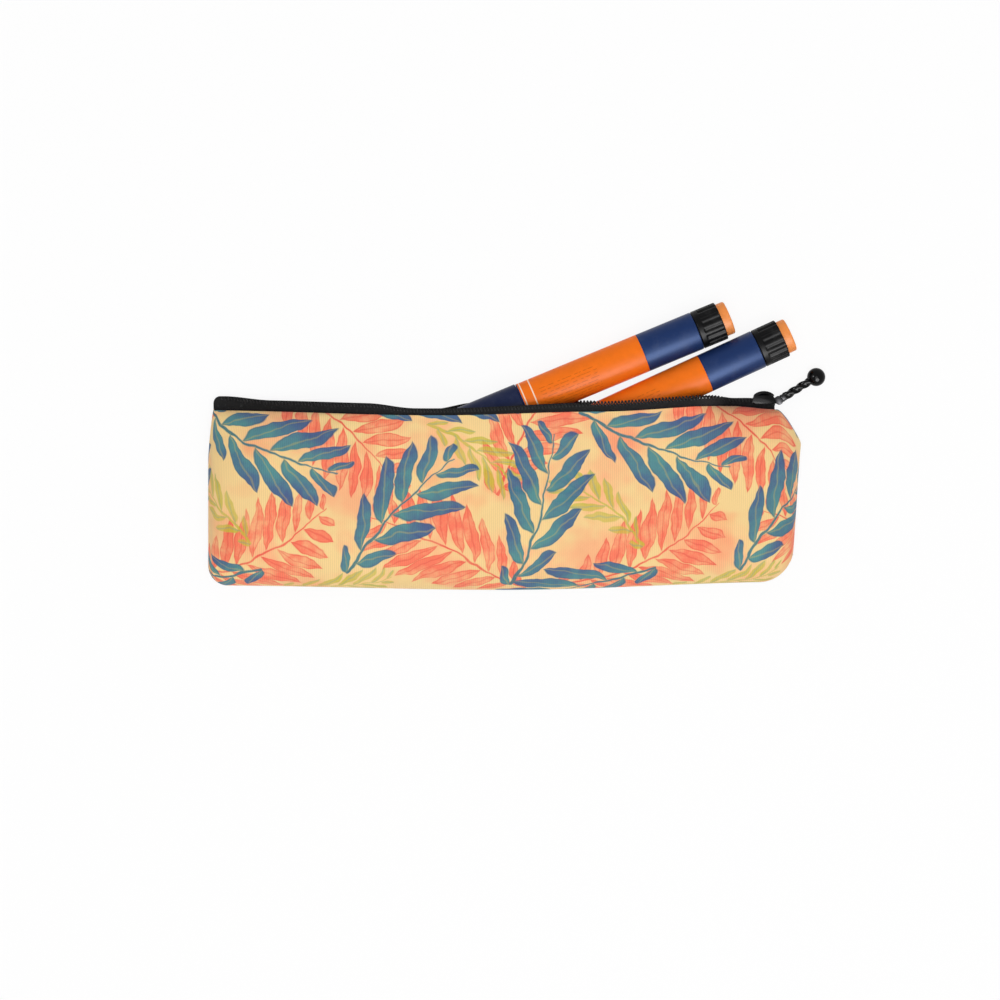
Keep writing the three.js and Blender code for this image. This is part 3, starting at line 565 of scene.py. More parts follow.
def sweep(path, across, up, profile):
    """Tube: each profile point (a, b) goes to the path plus a across plus b up."""
    return path[:, None, :] + profile[None, :, 0:1] * across[:, None, :] + profile[None, :, 1:2] * up[:, None, :]


def ring_profile(radius, sides):
    """Circle of a number of sides."""
    turn = np.linspace(0, 2 * np.pi, sides, endpoint=False)
    return radius * np.stack([np.cos(turn), np.sin(turn)], axis=1)


def tube(name, path, radius, sides, across=None):
    """Round wire along a path: its section stands across the path's own direction, and its ends are closed."""
    heading = unit(np.gradient(path, axis=0))
    across = np.cross(UP, heading) if across is None else across
    across = unit(across - heading * (across * heading).sum(axis=1, keepdims=True))
    points = sweep(path, across, np.cross(heading, across), ring_profile(radius, sides))
    last = (len(path) - 1) * sides
    caps = [tuple(range(sides))[::-1], tuple(range(last, last + sides))]
    return make_piece(name, points, grid_quads(len(path), sides, closed_columns=True)[:, ::-1], caps=caps)


def weld(piece):
    """Merges the points that fall together at seams and poles, then points all faces outwards."""
    work = bmesh.new()
    work.from_mesh(piece.data)
    bmesh.ops.remove_doubles(work, verts=work.verts, dist=1e-6)
    bmesh.ops.recalc_face_normals(work, faces=work.faces)
    work.to_mesh(piece.data)
    work.free()
    return piece


def rounded(profile):
    """Profile of (station, radius, round) corners with each corner drawn as a quadratic arc of its round.

    A profile that starts on the axis is open, and any other is closed.
    """
    table = np.array(profile, float)
    closed = table[0, 1] > 0
    corner, limit = table[:, None, :2], table[:, 2]
    limit = limit if closed else np.concatenate([[0], limit[1:-1], [0]])
    back = np.roll(corner, 1, axis=0) - corner
    ahead = np.roll(corner, -1, axis=0) - corner

    def tangent(edge):
        size = np.linalg.norm(edge, axis=2)[:, 0]
        return corner + edge * (np.minimum(limit, 0.45 * size) / np.maximum(size, 1e-9))[:, None, None]

    t = np.linspace(0, 1, 5)[None, :, None]
    line = ((1 - t) ** 2 * tangent(back) + 2 * t * (1 - t) * corner + t**2 * tangent(ahead)).reshape(-1, 2)
    line = np.concatenate([line, line[:1]]) if closed else line
    kept = np.concatenate([[True], np.linalg.norm(np.diff(line, axis=0), axis=1) > 1e-6])
    return line[kept]


def pen_frame(number):
    """Start and axis of a pen, with the two directions across it: level, and upwards."""
    start, axis = (np.array(part) for part in PENS[number])
    axis = unit(axis)
    level = unit(np.cross(UP, axis))
    return start, axis, level, np.cross(axis, level)


def turned(name, placing, profile, segments, relief=None):
    """Surface of revolution: the profile's stations go along the axis, its radii round it.

    A relief takes the turn, station and radius of every point and gives the radius that it has there. Flat
    coordinates are the arc length round the piece and the station.
    """
    start, axis, level, upward = placing
    line = rounded(profile)
    turn = np.linspace(0, 2 * np.pi, segments + 1)
    station, angle = line[:, 0:1], turn[None, :]
    radius = np.broadcast_to(line[:, 1:2], (len(line), segments + 1))
    radius = relief(angle, station, radius) if relief else radius
    spoke = np.cos(turn)[:, None] * level + np.sin(turn)[:, None] * upward
    points = start + station[..., None] * axis + radius[..., None] * spoke[None]
    flat = np.stack(np.broadcast_arrays(angle * PEN_RADIUS, station), axis=-1)
    return weld(make_piece(name, points, grid_quads(len(line), segments + 1), flat))


class Value:
    """A number in a shader tree. Arithmetic with it adds Math nodes to the tree."""

    def __init__(self, net, socket):
        self.net = net
        self.socket = socket

    def __add__(self, other):
        return self.net.math("ADD", self, other)

    def __sub__(self, other):
        return self.net.math("SUBTRACT", self, other)

    def __rsub__(self, other):
        return self.net.math("SUBTRACT", other, self)

    def __mul__(self, other):
        return self.net.math("MULTIPLY", self, other)

    def __truediv__(self, other):
        return self.net.math("DIVIDE", self, other)

    def __pow__(self, other):
        return self.net.math("POWER", self, other)

    def __abs__(self):
        return self.net.math("ABSOLUTE", self)


# Shared node groups that are built, by the function that builds them
GROUPS = {}


class Net:
    """Adds shader nodes to one tree. An input is a value, a node's socket, a number, a vector or a colour."""

    def __init__(self, tree):
        self.tree = tree

    def add(self, kind, inputs=None, **settings):
        """A node with its settings and inputs; the inputs are keyed by name or number."""
        node = self.tree.nodes.new(kind)
        for key, value in settings.items():
            setattr(node, key, value)
        for key, value in (inputs or {}).items():
            self.put(node.inputs[key], value)
        return node

    def put(self, socket, value):
        """Joins a socket, or sets the constant on it."""
        value = value.socket if isinstance(value, Value) else value
        if isinstance(value, bpy.types.NodeSocket):
            self.tree.links.new(value, socket)
        elif socket.type == "RGBA" and len(value) == 3:
            socket.default_value = (*value, 1)
        else:
            socket.default_value = value

    def math(self, operation, *values):
        """Result of a Math node."""
        node = self.add("ShaderNodeMath", dict(enumerate(values)), operation=operation)
        return Value(self, node.outputs[0])

    def highest(self, first, *others):
        """The greatest of some values."""
        for other in others:
            first = self.math("MAXIMUM", first, other)
        return first

    def vector(self, operation, *values):
        """Result of a Vector Math node."""
        return self.add("ShaderNodeVectorMath", dict(enumerate(values)), operation=operation).outputs[0]

    def parts(self, vector):
        """The three numbers of a vector."""
        return [Value(self, part) for part in self.add("ShaderNodeSeparateXYZ", {0: vector}).outputs]

    def mix(self, factor, one, other, blend="MIX"):
        """Colour mixed from one to the other by the factor."""
        node = self.add("ShaderNodeMix", {0: factor, 6: one, 7: other}, data_type="RGBA", blend_type=blend)
        return node.outputs[2]

    def step(self, value, low, high, to_low=0.0, to_high=1.0):
        """S-curve of a value between two limits."""
        node = self.add(
            "ShaderNodeMapRange",
            {"Value": value, "From Min": low, "From Max": high, "To Min": to_low, "To Max": to_high},
            interpolation_type="SMOOTHSTEP",
        )
        return Value(self, node.outputs["Result"])

    def noise(self, vector, scale, detail=2.0, roughness=0.5):
        """Noise between 0 and 1."""
        inputs = {"Vector": vector, "Scale": scale, "Detail": detail, "Roughness": roughness}
        return Value(self, self.add("ShaderNodeTexNoise", inputs).outputs["Fac"])

    def flat(self):
        """The piece's own flat coordinates, in millimetres."""
        return self.add("ShaderNodeUVMap", uv_map="flat").outputs["UV"]

    def place(self):
        """Object coordinates, in metres."""
        return self.add("ShaderNodeTexCoord").outputs["Object"]

    def use(self, build, **inputs):
        """Results of a shared node group, built once; underscores in an input's name stand for spaces."""
        if build not in GROUPS:
            GROUPS[build] = build()
        node = self.add("ShaderNodeGroup", node_tree=GROUPS[build])
        for key, value in inputs.items():
            self.put(node.inputs[key.replace("_", " ")], value)
        return {output.name: Value(self, output) for output in node.outputs}


def new_group(name, inputs, outputs):
    """An empty node group with its sockets; gives its net, its inputs and a function that joins its outputs."""
    tree = bpy.data.node_groups.new(name, "ShaderNodeTree")
    for way, sockets in (("INPUT", inputs), ("OUTPUT", outputs)):
        for socket, kind in sockets.items():
            tree.interface.new_socket(socket, in_out=way, socket_type=f"NodeSocket{kind}")
    net = Net(tree)
    source = net.add("NodeGroupInput").outputs
    sink = net.add("NodeGroupOutput")

    def give(**results):
        for key, value in results.items():
            net.put(sink.inputs[key], value)
        return tree

    return net, {socket: Value(net, source[socket]) for socket in inputs}, give


def sprig_group():
    """Leaf sprig: a bent stem with slanting leaves in turn to its two sides.

    The place is moved to the sprig's middle, repeated over the print, turned and bent. Distance from the stem and
    place along it give the number of the nearest leaf. Along and across that leaf a four t (1 - t) lens is drawn.
    """
    net, given, give = new_group(
        "Leaf Sprig",
        {"Position": "Vector", "Repeat": "Vector", "Centre": "Vector", "Turn": "Float", "Bend": "Float",
         "Length": "Float", "Leaf Length": "Float", "Leaf Width": "Float", "Spacing": "Float", "Slant": "Float"},
        {"Mask": "Float", "Along": "Float", "Rib": "Float", "Edge": "Float"},
    )
    moved = net.parts(net.vector("SUBTRACT", given["Position"], given["Centre"]))
    size = net.parts(given["Repeat"])
    x, y = (net.math("WRAP", moved[axis], size[axis] * 0.5, size[axis] * -0.5) for axis in (0, 1))
    cosine, sine = net.math("COSINE", given["Turn"]), net.math("SINE", given["Turn"])
    along = x * cosine + y * sine
    across = y * cosine - x * sine - given["Bend"] * abs(along) ** 2.0
    along = along + given["Length"] * 0.5
    away = abs(across)
    shift = net.math("GREATER_THAN", across, 0.0) * (given["Spacing"] * 0.5)
    foot = along - away / net.math("TANGENT", given["Slant"])
    number = net.math("FLOOR", (foot + shift) / given["Spacing"])
    middle = (number + 0.5) * given["Spacing"] - shift
    slant = net.math("SINE", given["Slant"])
    beside = abs((foot - middle) * slant)
    part = middle / given["Length"]
    inside = net.math("COMPARE", part, 0.5, 0.5)
    taper = net.math("SINE", part * 2.5 + 0.45)
    reach = given["Leaf Length"] * net.highest(taper, 0.05)
    t = net.math("MINIMUM", away / slant / reach, 1.0)
    lens = t * (1.0 - t) * 4.0
    inner = lens**1.15 * (given["Leaf Width"] * (taper * 0.3 + 0.2)) - beside
    leaf = net.step(inner, 0.0, 0.45) * inside
    stem_part = along / given["Length"]
    stem = net.step(stem_part * -0.5 + 0.95 - away, 0.0, 0.45) * net.math("COMPARE", stem_part, 0.5, 0.5)
    rib = net.step(beside, 0.1, 0.5, 1.0, 0.0)
    edge = net.step(inner, 0.3, 1.0, 1.0, 0.0)
    return give(Mask=net.highest(leaf, stem), Along=t, Rib=rib, Edge=edge)


def weave_group():
    """Ribbed weave: cosine ribs along one direction, crossed by finer threads that shift by half on each rib. Its
    Shade is painted shade, darker between the threads.
    """
    net, given, give = new_group(
        "Ribbed Weave", {"Position": "Vector", "Pitch": "Float"}, {"Height": "Float", "Shade": "Float"}
    )
    x, y, _ = net.parts(given["Position"])
    rib = x / given["Pitch"]
    rib_wave = net.math("COSINE", rib * (2 * np.pi)) * 0.5 + 0.5
    shift = net.math("FLOOR", rib + 0.5) * np.pi
    weft = y / (given["Pitch"] * 0.7)
    weft_wave = net.math("COSINE", weft * (2 * np.pi) + shift) * 0.5 + 0.5
    height = weft_wave * 0.35 + rib_wave * 0.65
    return give(Height=height, Shade=height * 0.16 + 0.88)


def grain_group():
    """Handled surface: fine grain for the bump, and broad worn patches that change the gloss."""
    net, given, give = new_group(
        "Handled Grain", {"Position": "Vector", "Grain": "Float", "Roughness": "Float", "Wear": "Float"},
        {"Roughness": "Float", "Height": "Float", "Patch": "Float"},
    )
    patch = net.noise(given["Position"], 140.0, 3.0, 0.6)
    fine = net.noise(given["Position"], given["Grain"], 2.0, 0.6)
    change = (fine * 0.4 + patch - 0.7) * given["Wear"]
    return give(Roughness=given["Roughness"] + change, Height=fine, Patch=patch)


def new_material(name):
    """A material with its net and its Principled shader."""
    finish = bpy.data.materials.new(name)
    finish.use_nodes = True
    return finish, Net(finish.node_tree), finish.node_tree.nodes["Principled BSDF"]


def set_plain(shader, **sockets):
    """Sets constants on the shader's sockets; underscores in a name stand for spaces."""
    for key, value in sockets.items():
        shader.inputs[key.replace("_", " ")].default_value = value


def raise_bump(net, shader, height, millimetres, strength):
    """Feeds a height into the shader's normal."""
    inputs = {"Height": height, "Distance": millimetres * MM, "Strength": strength}
    net.put(shader.inputs["Normal"], net.add("ShaderNodeBump", inputs).outputs["Normal"])


def paint_weave(net, shader, paint, weave, millimetres, strength):
    """Puts a paint on woven cloth, with painted shade between the threads, which a bump raises."""
    shade = net.add("ShaderNodeCombineColor", dict.fromkeys(range(3), weave["Shade"])).outputs[0]
    net.put(shader.inputs["Base Color"], net.mix(1.0, paint, shade, "MULTIPLY"))
    raise_bump(net, shader, weave["Height"], millimetres, strength)


# Sprigs of one repeat: middle in millimetres, turn in degrees, bend per millimetre
CORAL_FERNS = [(34, 24, 28, 0.004), (118, 30, 152, 0.003), (70, 84, -38, -0.004), (154, 88, 58, -0.003)]
BLUE_SPRIGS = [
    (36, 72, -22, 0.003), (94, 46, 48, -0.003), (156, 44, 75, 0.003), (112, 100, 12, -0.002), (4, 8, 205, 0.003),
]
MOSS_SPRIGS = [(70, 8, 12, 0.006), (130, 72, -38, -0.006), (16, 48, 142, 0.006)]

# Shape of each kind of sprig: stem, leaf length, leaf width and spacing in millimetres, slant in degrees
FERN_SHAPE = (76, 28, 6.6, 7.4, 54)
MOSS_SHAPE = (48, 17, 4.2, 7.6, 36)
LEAF_SHAPE = (70, 32, 8.4, 13.2, 38)
BACK_PRINT_SHIFT = (75.0, 60.0)


def printed_cloth(name, look):
    """Leaf print on ribbed cloth: a cream and peach wash, coral ferns, moss sprigs and blue-green sprigs on top."""
    finish, net, shader = new_material(name)
    place = net.flat()
    wash = net.noise(place, 0.03, 3.0, 0.55)
    bleed = net.noise(place, 0.11, 4.0, 0.6)
    wander = net.add("ShaderNodeTexNoise", {"Vector": place, "Scale": 0.09, "Detail": 2.0}).outputs["Color"]
    drawn = net.vector("MULTIPLY_ADD", wander, (5.0, 5.0, 0.0), place)
    repeat = (look.repeat_width / MM, look.repeat_height / MM, 0)

    def sprigs(rows, shape, *channels):
        stem, leaf, width, spacing, slant = shape
        drawings = [
            net.use(
                sprig_group, Position=drawn, Repeat=repeat, Centre=(x, y, 0), Turn=np.radians(turn), Bend=bend,
                Length=stem, Leaf_Length=leaf, Leaf_Width=width, Spacing=spacing, Slant=np.radians(slant),
            )
            for x, y, turn, bend in rows
        ]
        masks = [drawing["Mask"] for drawing in drawings]
        inside = ([drawing[key] * drawing["Mask"] for drawing in drawings] for key in channels)
        return net.highest(*masks), *(net.highest(*values) for values in inside)

    blush = net.step(net.noise(place, 0.045), 0.54, 0.74) * 0.4
    ground = net.mix(blush, net.mix(net.step(wash, 0.44, 0.64), look.cream, look.peach), look.coral)
    fern, fern_rib, fern_edge = sprigs(CORAL_FERNS, FERN_SHAPE, "Rib", "Edge")
    fern_colour = net.mix(net.step(bleed, 0.4, 0.75), look.coral, look.peach)
    fern_colour = net.mix(net.highest(fern_rib * 0.6, fern_edge * 0.75), fern_colour, look.red)
    paint = net.mix(fern * net.step(bleed, 0.3, 0.8, 0.95, 0.75), ground, fern_colour)
    moss, moss_rib = sprigs(MOSS_SPRIGS, MOSS_SHAPE, "Rib")
    moss_colour = net.mix(moss_rib * 0.4, look.moss, look.teal)
    paint = net.mix(moss * net.step(bleed, 0.2, 0.7, 0.95, 0.6), paint, moss_colour)
    leaf, leaf_along, leaf_rib, leaf_edge = sprigs(BLUE_SPRIGS, LEAF_SHAPE, "Along", "Rib", "Edge")
    leaf_colour = net.mix(net.step(leaf_along + (bleed * 1.4 - 0.7), 0.0, 0.95), look.teal, look.blue)
    leaf_colour = net.mix(leaf_rib * 0.28, leaf_colour, look.moss)
    leaf_colour = net.mix(leaf_edge * 0.4, leaf_colour, np.array(look.blue) * 0.5)
    paint = net.mix(leaf * 0.94, paint, leaf_colour)

    paint_weave(net, shader, paint, net.use(weave_group, Position=place, Pitch=look.rib_pitch / MM), 0.12, 0.7)
    net.put(shader.inputs["Roughness"], net.step(bleed, 0.2, 0.8, 0.72, 0.9))
    set_plain(shader, Sheen_Weight=0.12, Sheen_Roughness=0.4, Specular_IOR_Level=0.1)
    return finish


def woven_cloth(name, tint, pitch, sheen):
    """Plain woven cloth: ribbed weave in one colour, with lint that lightens it a little in places."""
    finish, net, shader = new_material(name)
    place = net.flat()
    lint = net.noise(place, 0.7, 4.0, 0.7)
    worn = net.mix(net.step(lint, 0.5, 0.8), tint, lerp(np.array(tint), 0.16, 0.16))
    paint_weave(net, shader, worn, net.use(weave_group, Position=place, Pitch=pitch), 0.1, 0.8)
    net.put(shader.inputs["Roughness"], net.step(lint, 0.2, 0.8, 0.78, 0.95))
    set_plain(shader, Sheen_Weight=sheen, Specular_IOR_Level=0.1)
    return finish


def moulded(name, tint, roughness, grain=2600.0, wear=0.06, tone=0.012, **sockets):
    """Moulded or cast surface: handled grain in the gloss and bump, and a slight change of tone in worn patches."""
    finish, net, shader = new_material(name)
    handled = net.use(grain_group, Position=net.place(), Grain=grain, Roughness=roughness, Wear=wear)
    paint = net.mix(net.step(handled["Patch"], 0.45, 0.75), tint, lerp(np.array(tint), 1.0, tone))
    net.put(shader.inputs["Base Color"], paint)
    net.put(shader.inputs["Roughness"], handled["Roughness"])
    set_plain(shader, **sockets)
    raise_bump(net, shader, handled["Height"], 0.02, 0.35)
    return finish


def clear(name, tint, ior):
    """Clear plastic or glass with faint haze; its tint, index and transmission are plain values."""
    finish, net, shader = new_material(name)
    handled = net.use(grain_group, Position=net.place(), Grain=900.0, Roughness=0.07, Wear=0.05)
    net.put(shader.inputs["Roughness"], handled["Roughness"])
    set_plain(shader, Base_Color=(*tint, 1), IOR=ior, Transmission_Weight=0.92)
    return finish


def gel_fill(name, tint):
    """Swollen gel: rounded grains under a thin film, with painted shade between the grains."""
    finish, net, shader = new_material(name)
    grains = net.add("ShaderNodeTexVoronoi", {"Vector": net.place(), "Scale": 420.0}).outputs["Distance"]
    # Painted shade: the tint darkens away from each grain's middle, between the grains
    net.put(shader.inputs["Base Color"], net.mix(net.step(grains, 0.2, 0.7), tint, np.array(tint) * 0.72))
    net.put(shader.inputs["Roughness"], net.step(grains, 0.1, 0.7, 0.18, 0.5))
    set_plain(shader, Transmission_Weight=0.25)
    raise_bump(net, shader, net.math("SUBTRACT", 1.0, grains), 0.5, 0.6)
    return finish


def wrapped_label(name, look):
    """Label: two white stripes at the cap end, and short ruled lines along the pen in broken rows."""
    finish, net, shader = new_material(name)
    place = net.flat()
    x, y, _ = net.parts(place)
    edge = y - LABEL_END
    half = look.stripe / MM / 2
    stripes = net.highest(
        *(net.step(abs(edge - middle), half - 0.06, half + 0.06, 1.0, 0.0) for middle in STRIPE_MIDDLES)
    )
    row = net.math("PINGPONG", x, 0.75)
    broken = net.step(net.noise(net.vector("MULTIPLY", place, (0.67, 0.5, 0.0)), 1.0, 1.0), 0.44, 0.5)
    block = net.math("COMPARE", x, 17.0, 7.5) * net.math("COMPARE", edge, 21.0, 13.0)
    lines = net.step(row, 0.12, 0.26, 1.0, 0.0) * broken * block
    paper = net.noise(net.place(), 320.0, 4.0, 0.6)
    base = net.mix(net.step(paper, 0.3, 0.8), look.label, np.array(look.label) * 0.93)
    base = net.mix(lines * 0.55, base, look.label_ink)
    net.put(shader.inputs["Base Color"], net.mix(stripes, base, srgb(252, 222, 196)))
    net.put(shader.inputs["Roughness"], net.step(paper, 0.2, 0.8, 0.3, 0.42))
    set_plain(shader, Specular_IOR_Level=0.08)
    raise_bump(net, shader, paper, 0.02, 0.4)
    return finish


def stacked(x, y, z):
    """One array of points from three arrays."""
    return np.stack(np.broadcast_arrays(x, y, z), axis=-1)


def lifted(points, height):
    """Moves a grid's points along its own normals, found from the differences along its two directions."""
    normal = np.cross(np.gradient(points, axis=0), np.gradient(points, axis=1))
    normal /= np.maximum(np.linalg.norm(normal, axis=-1, keepdims=True), 1e-9)
    return points + normal * height[..., None]


def outward(field):
    """Share from 0 to 1 of a field from -1 to 1, so that a fold only rises from the layers under it."""
    return np.clip(0.5 + 0.5 * field, 0, 1)


def inside_edges(grid, side_run, zip_run):
    """0 at the sewn edges and 1 further inside than the two runs."""
    return smooth(grid["edge"] / side_run) * smooth(grid["top"] / zip_run)


def gathers(grid, pucker, seed):
    """Small gathers: waves that grow just inside a sewn edge and die away a few millimetres further in."""
    x, y = grid["x"], grid["y"]

    def band(distance, reach):
        return np.exp(-distance / reach) * (1 - np.exp(-distance / GATHER_START))

    sides = band(grid["edge"], SIDE_GATHER_REACH) * outward(waves(x, y, SIDE_GATHER_LENGTH, seed))
    zip_side = band(grid["top"], ZIP_GATHER_REACH) * outward(waves(x, y * 0.15, ZIP_GATHER_LENGTH, seed + 1))
    return GATHER_GAIN * pucker * (sides + zip_side)


def carry(fine, picks):
    """Matrix that carries values at the picked rows to every row: straight lines between neighbouring picks."""
    place = np.interp(np.arange(fine), picks, np.arange(len(picks)))
    return np.maximum(0, 1 - np.abs(place[:, None] - np.arange(len(picks))[None, :]))


def swollen(points):
    """Cloth simulation: a coarse copy of a grid, cut a little too wide and held along its four edges, is blown up.

    It runs at ten times its size without gravity, which suits the solver. The way that the coarse points have moved
    is carried to the whole grid along straight lines between them, and the copy is removed.
    """
    rows, columns = (np.unique(np.append(np.arange(0, count, SIM_STEP), count - 1)) for count in points.shape[:2])
    coarse = points[np.ix_(rows, columns)]
    sheet = make_piece("swelling_cloth", coarse * SIM_SCALE, grid_quads(*coarse.shape[:2]))
    number = np.arange(coarse.shape[0] * coarse.shape[1]).reshape(coarse.shape[:2])
    held = np.unique(np.concatenate([number[0], number[-1], number[:, 0], number[:, -1]]))
    sheet.vertex_groups.new(name="held").add(held.tolist(), 1.0, "REPLACE")
    cloth = sheet.modifiers.new("cloth", "CLOTH")
    cloth.settings.vertex_group_mass = "held"
    cloth.settings.quality = 6
    cloth.settings.bending_stiffness = 0.3
    cloth.settings.shrink_min = -SIM_SLACK
    cloth.settings.use_pressure = True
    cloth.settings.uniform_pressure_force = SIM_PRESSURE
    cloth.settings.effector_weights.gravity = 0
    cloth.collision_settings.use_collision = False
    scene = bpy.context.scene
    for step in range(1, SIM_FRAMES + 1):
        scene.frame_set(step)
    result = sheet.evaluated_get(bpy.context.evaluated_depsgraph_get()).data
    moved = np.empty(3 * len(result.vertices), np.float32)
    result.vertices.foreach_get("co", moved)
    shift = moved.reshape(coarse.shape) / MM / SIM_SCALE - coarse
    scene.frame_set(1)
    bpy.data.meshes.remove(sheet.data)
    return np.einsum("ai,bj,ijk->abk", carry(points.shape[0], rows), carry(points.shape[1], columns), shift)


def softened(values, flat, reach):
    """Values of a grid averaged with their neighbours by a bell curve over the flat distance."""

    def bell(place):
        weights = np.exp(-(((place[:, None] - place[None, :]) / reach) ** 2) / 2)
        return weights / weights.sum(axis=1, keepdims=True)

    return bell(flat[:, 0, 0]) @ values @ bell(flat[0, :, 1]).T


def front_cover(look, finish):
    """Printed front: the outer face of the domed wall, with the folds of a cloth simulation and gathered seams.

    The broad swelling of the simulation is taken off, because the wall already has its dome. The folds that are
    left are lifted until their valleys lie on the layers below.
    """
    grid = wall_grid(0, 0, 0.8)
    x, y = grid["x"], grid["y"]
    points = stacked(x, y, grid["ceiling"] + FRONT_STACK + CLOTH)
    flat = developed(points)
    uneven = UNEVEN_HEIGHT * waves(x, y, UNEVEN_LENGTH, 14) * inside_edges(grid, UNEVEN_RUN, UNEVEN_RUN)
    normal = lifted(points, np.ones(points.shape[:2])) - points
    rise = (swollen(lifted(points, uneven)) * normal).sum(axis=-1)
    folds = np.clip(FOLD_LIFT + FOLD_SHARE * (rise - softened(rise, flat, FOLD_REACH)), 0, FOLD_CAP)
    folds = folds * inside_edges(grid, FOLD_RUN, FOLD_RUN)
    dents = inside_edges(grid, DENT_SIDE_RUN, DENT_ZIP_RUN) * outward(waves(x, y, DENT_LENGTH, 5))
    points = lifted(points, FRONT_GATHERS * gathers(grid, look.pucker / MM, 11) + look.sag / MM * dents + folds)
    piece = sew("front_cover_sewn", "outer_front_panel", ("printed_cloth", finish), points, flat, CLOTH, -1)
    declare_cloth(points)


def back_cover(look, finish):
    """Printed back: flat on the floor, turned up to the seams, gathered only where it leaves the floor."""
    grid = wall_grid(BACK_INSET, BACK_INSET, 0.9)
    points = stacked(grid["x"], grid["y"], grid["back"])
    flat = developed(points) + BACK_PRINT_SHIFT
    points = lifted(points, gathers(grid, look.pucker / MM * BACK_GATHERS, 23) * smooth(grid["back"] / 1.2))
    points[..., 2] = np.maximum(points[..., 2], 0)
    material = "printed_cloth", finish
    piece = sew("back_cover_sewn", "outer_back_panel", material, points, flat, CLOTH, -1, flip=True)
    declare_cloth(points)


def outline(inset):
    """Path of the seam: down the left side, along the hem, up the right side and along the slanting corner."""
    down, up = np.linspace(1, 0, 90), np.linspace(0, 1, 90)
    bottom = LEFT + LENGTH * (0.5 - 0.5 * np.cos(np.linspace(0, np.pi, 420)[1:-1]))
    slant = np.linspace(RIGHT, SLIDER_RIGHT + 1, 30)[1:]
    nominal = np.concatenate([np.full_like(down, LEFT), bottom, np.full_like(up, RIGHT), slant])
    v = np.concatenate([down, np.zeros_like(bottom), up, np.ones_like(slant)])
    place = wall(nominal, v)
    path = stacked(place["x"], place["y"], SEAM_MID)
    path = path[np.concatenate([[True], np.linalg.norm(np.diff(path, axis=0), axis=1) > 0.02])]
    return path + inset * unit(np.cross(UP, np.gradient(path, axis=0)))


def seam_thread(finish):
    """Turned seam between the covers: a rolled edge of cloth that follows the outline."""
    attach(tube("side_seam_rolled", outline(SEAM_INSET), SEAM_RADIUS, 8), "pouch", finish)


def lining(side, height, to_tape, held, seed, finish):
    """Lining: the wall's inner face from the seams up, slightly waved, that bends to the zip tape at its top."""
    grid = wall_grid(LINING_INSET, LINING_TOP, 1.6)
    bend = to_tape * smooth((7 - grid["top"]) / 3)
    ripple = LINING_RIPPLE * waves(grid["x"], grid["y"], LINING_RIPPLE_LENGTH, seed)
    points = stacked(grid["x"], grid["y"], height(grid) + LINING / 2 + ripple + bend)
    material = "lining_cloth", finish
    piece = sew(f"{side}_lining_sewn", f"lining_{side}", material, points, developed(points), LINING, 0)
    declare_cloth(points)


def gel_pad(side, number, foot, depth, finish):
    """Gel pocket: a pad whose half thickness is the pocket's depth times a quarter ellipse from every edge."""
    node = f"gel_pocket_{side}_{number}"
    low, high = (corner.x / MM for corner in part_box(node))
    low = LEFT + GEL_INSET if number == 1 else low
    high = RIGHT - GEL_INSET if number == POCKET_COUNT else high
    turn = np.linspace(0, np.pi, 57)
    across = lerp(low, high, 0.5 - 0.5 * np.cos(turn))
    upward = lerp(GEL_INSET, HEIGHT - GEL_TOP, 0.5 - 0.5 * np.cos(turn[::2]))
    grid = wall(across[:, None], upward[None, :] / HEIGHT)
    span, rise = (across - low)[:, None], (upward - GEL_INSET)[None, :]
    crown = bulge(span, GEL_CROWN) * bulge(high - low - span, GEL_CROWN)
    crown = crown * bulge(rise, GEL_CROWN) * bulge(HEIGHT - GEL_TOP - GEL_INSET - rise, GEL_CROWN)
    half = depth(grid) / 2
    middle = foot(grid) + half
    lumps = GEL_LUMP * waves(grid["x"], grid["y"], GEL_LUMP_LENGTH, 40 + number) * crown
    top = stacked(grid["x"], grid["y"], middle + (half * crown - np.abs(lumps) * 0.5))
    bottom = stacked(grid["x"], grid["y"], middle - half * crown)
    quads = grid_quads(*top.shape[:2])
    count = top.shape[0] * top.shape[1]
    quads = np.concatenate([quads, quads[:, ::-1] + count])
    piece = make_piece(f"{side}_gel_pad_{number}", np.stack([top, bottom]), quads)
    settle(weld(piece), node, "gel", finish)


class POUCH_OT_covers(bpy.types.Operator):
    """Sew the printed front and back and the seam between them"""

    bl_idname = "cooling_case.covers"
    bl_label = "Printed Covers"

    def execute(self, context):
        look = context.scene.cooling_pouch
        cloth = printed_cloth("Printed Cloth", look)
        front_cover(look, cloth)
        back_cover(look, cloth)
        seam_thread(moulded("Seam Thread", look.seam_thread, 0.8, Specular_IOR_Level=0.2))
        return {"FINISHED"}


class POUCH_OT_linings(bpy.types.Operator):
    """Sew the lining of both walls"""

    bl_idname = "cooling_case.linings"
    bl_label = "Linings"

    def execute(self, context):
        cloth = woven_cloth("Lining Cloth", context.scene.cooling_pouch.lining, 0.5, 0.2)
        lining("front", lambda grid: grid["ceiling"], 1.4, "stretched", 31, cloth)
        lining("back", lambda grid: grid["back"] + CLOTH + 2 * LAYER_GAP + grid["pocket"], -0.5, "laid", 32, cloth)
        return {"FINISHED"}


class POUCH_OT_gel_pads(bpy.types.Operator):
    """Fill the gel pockets of both walls"""

    bl_idname = "cooling_case.gel_pads"
    bl_label = "Gel Pads"

    def execute(self, context):
        gel = gel_fill("Swollen Gel", context.scene.cooling_pouch.gel)
        for number in range(1, POCKET_COUNT + 1):
            gel_pad("front", number, lambda grid: grid["ceiling"] + LINING + LAYER_GAP, lambda grid: GEL, gel)
            gel_pad("back", number, lambda grid: grid["back"] + CLOTH + LAYER_GAP, lambda grid: grid["pocket"], gel)
        return {"FINISHED"}


TAPE_SIDES = {
    "front": lambda grid: grid["ceiling"] + FRONT_TAPE_RISE,
    "back": lambda grid: grid["back"] + BACK_TAPE_RISE,
}


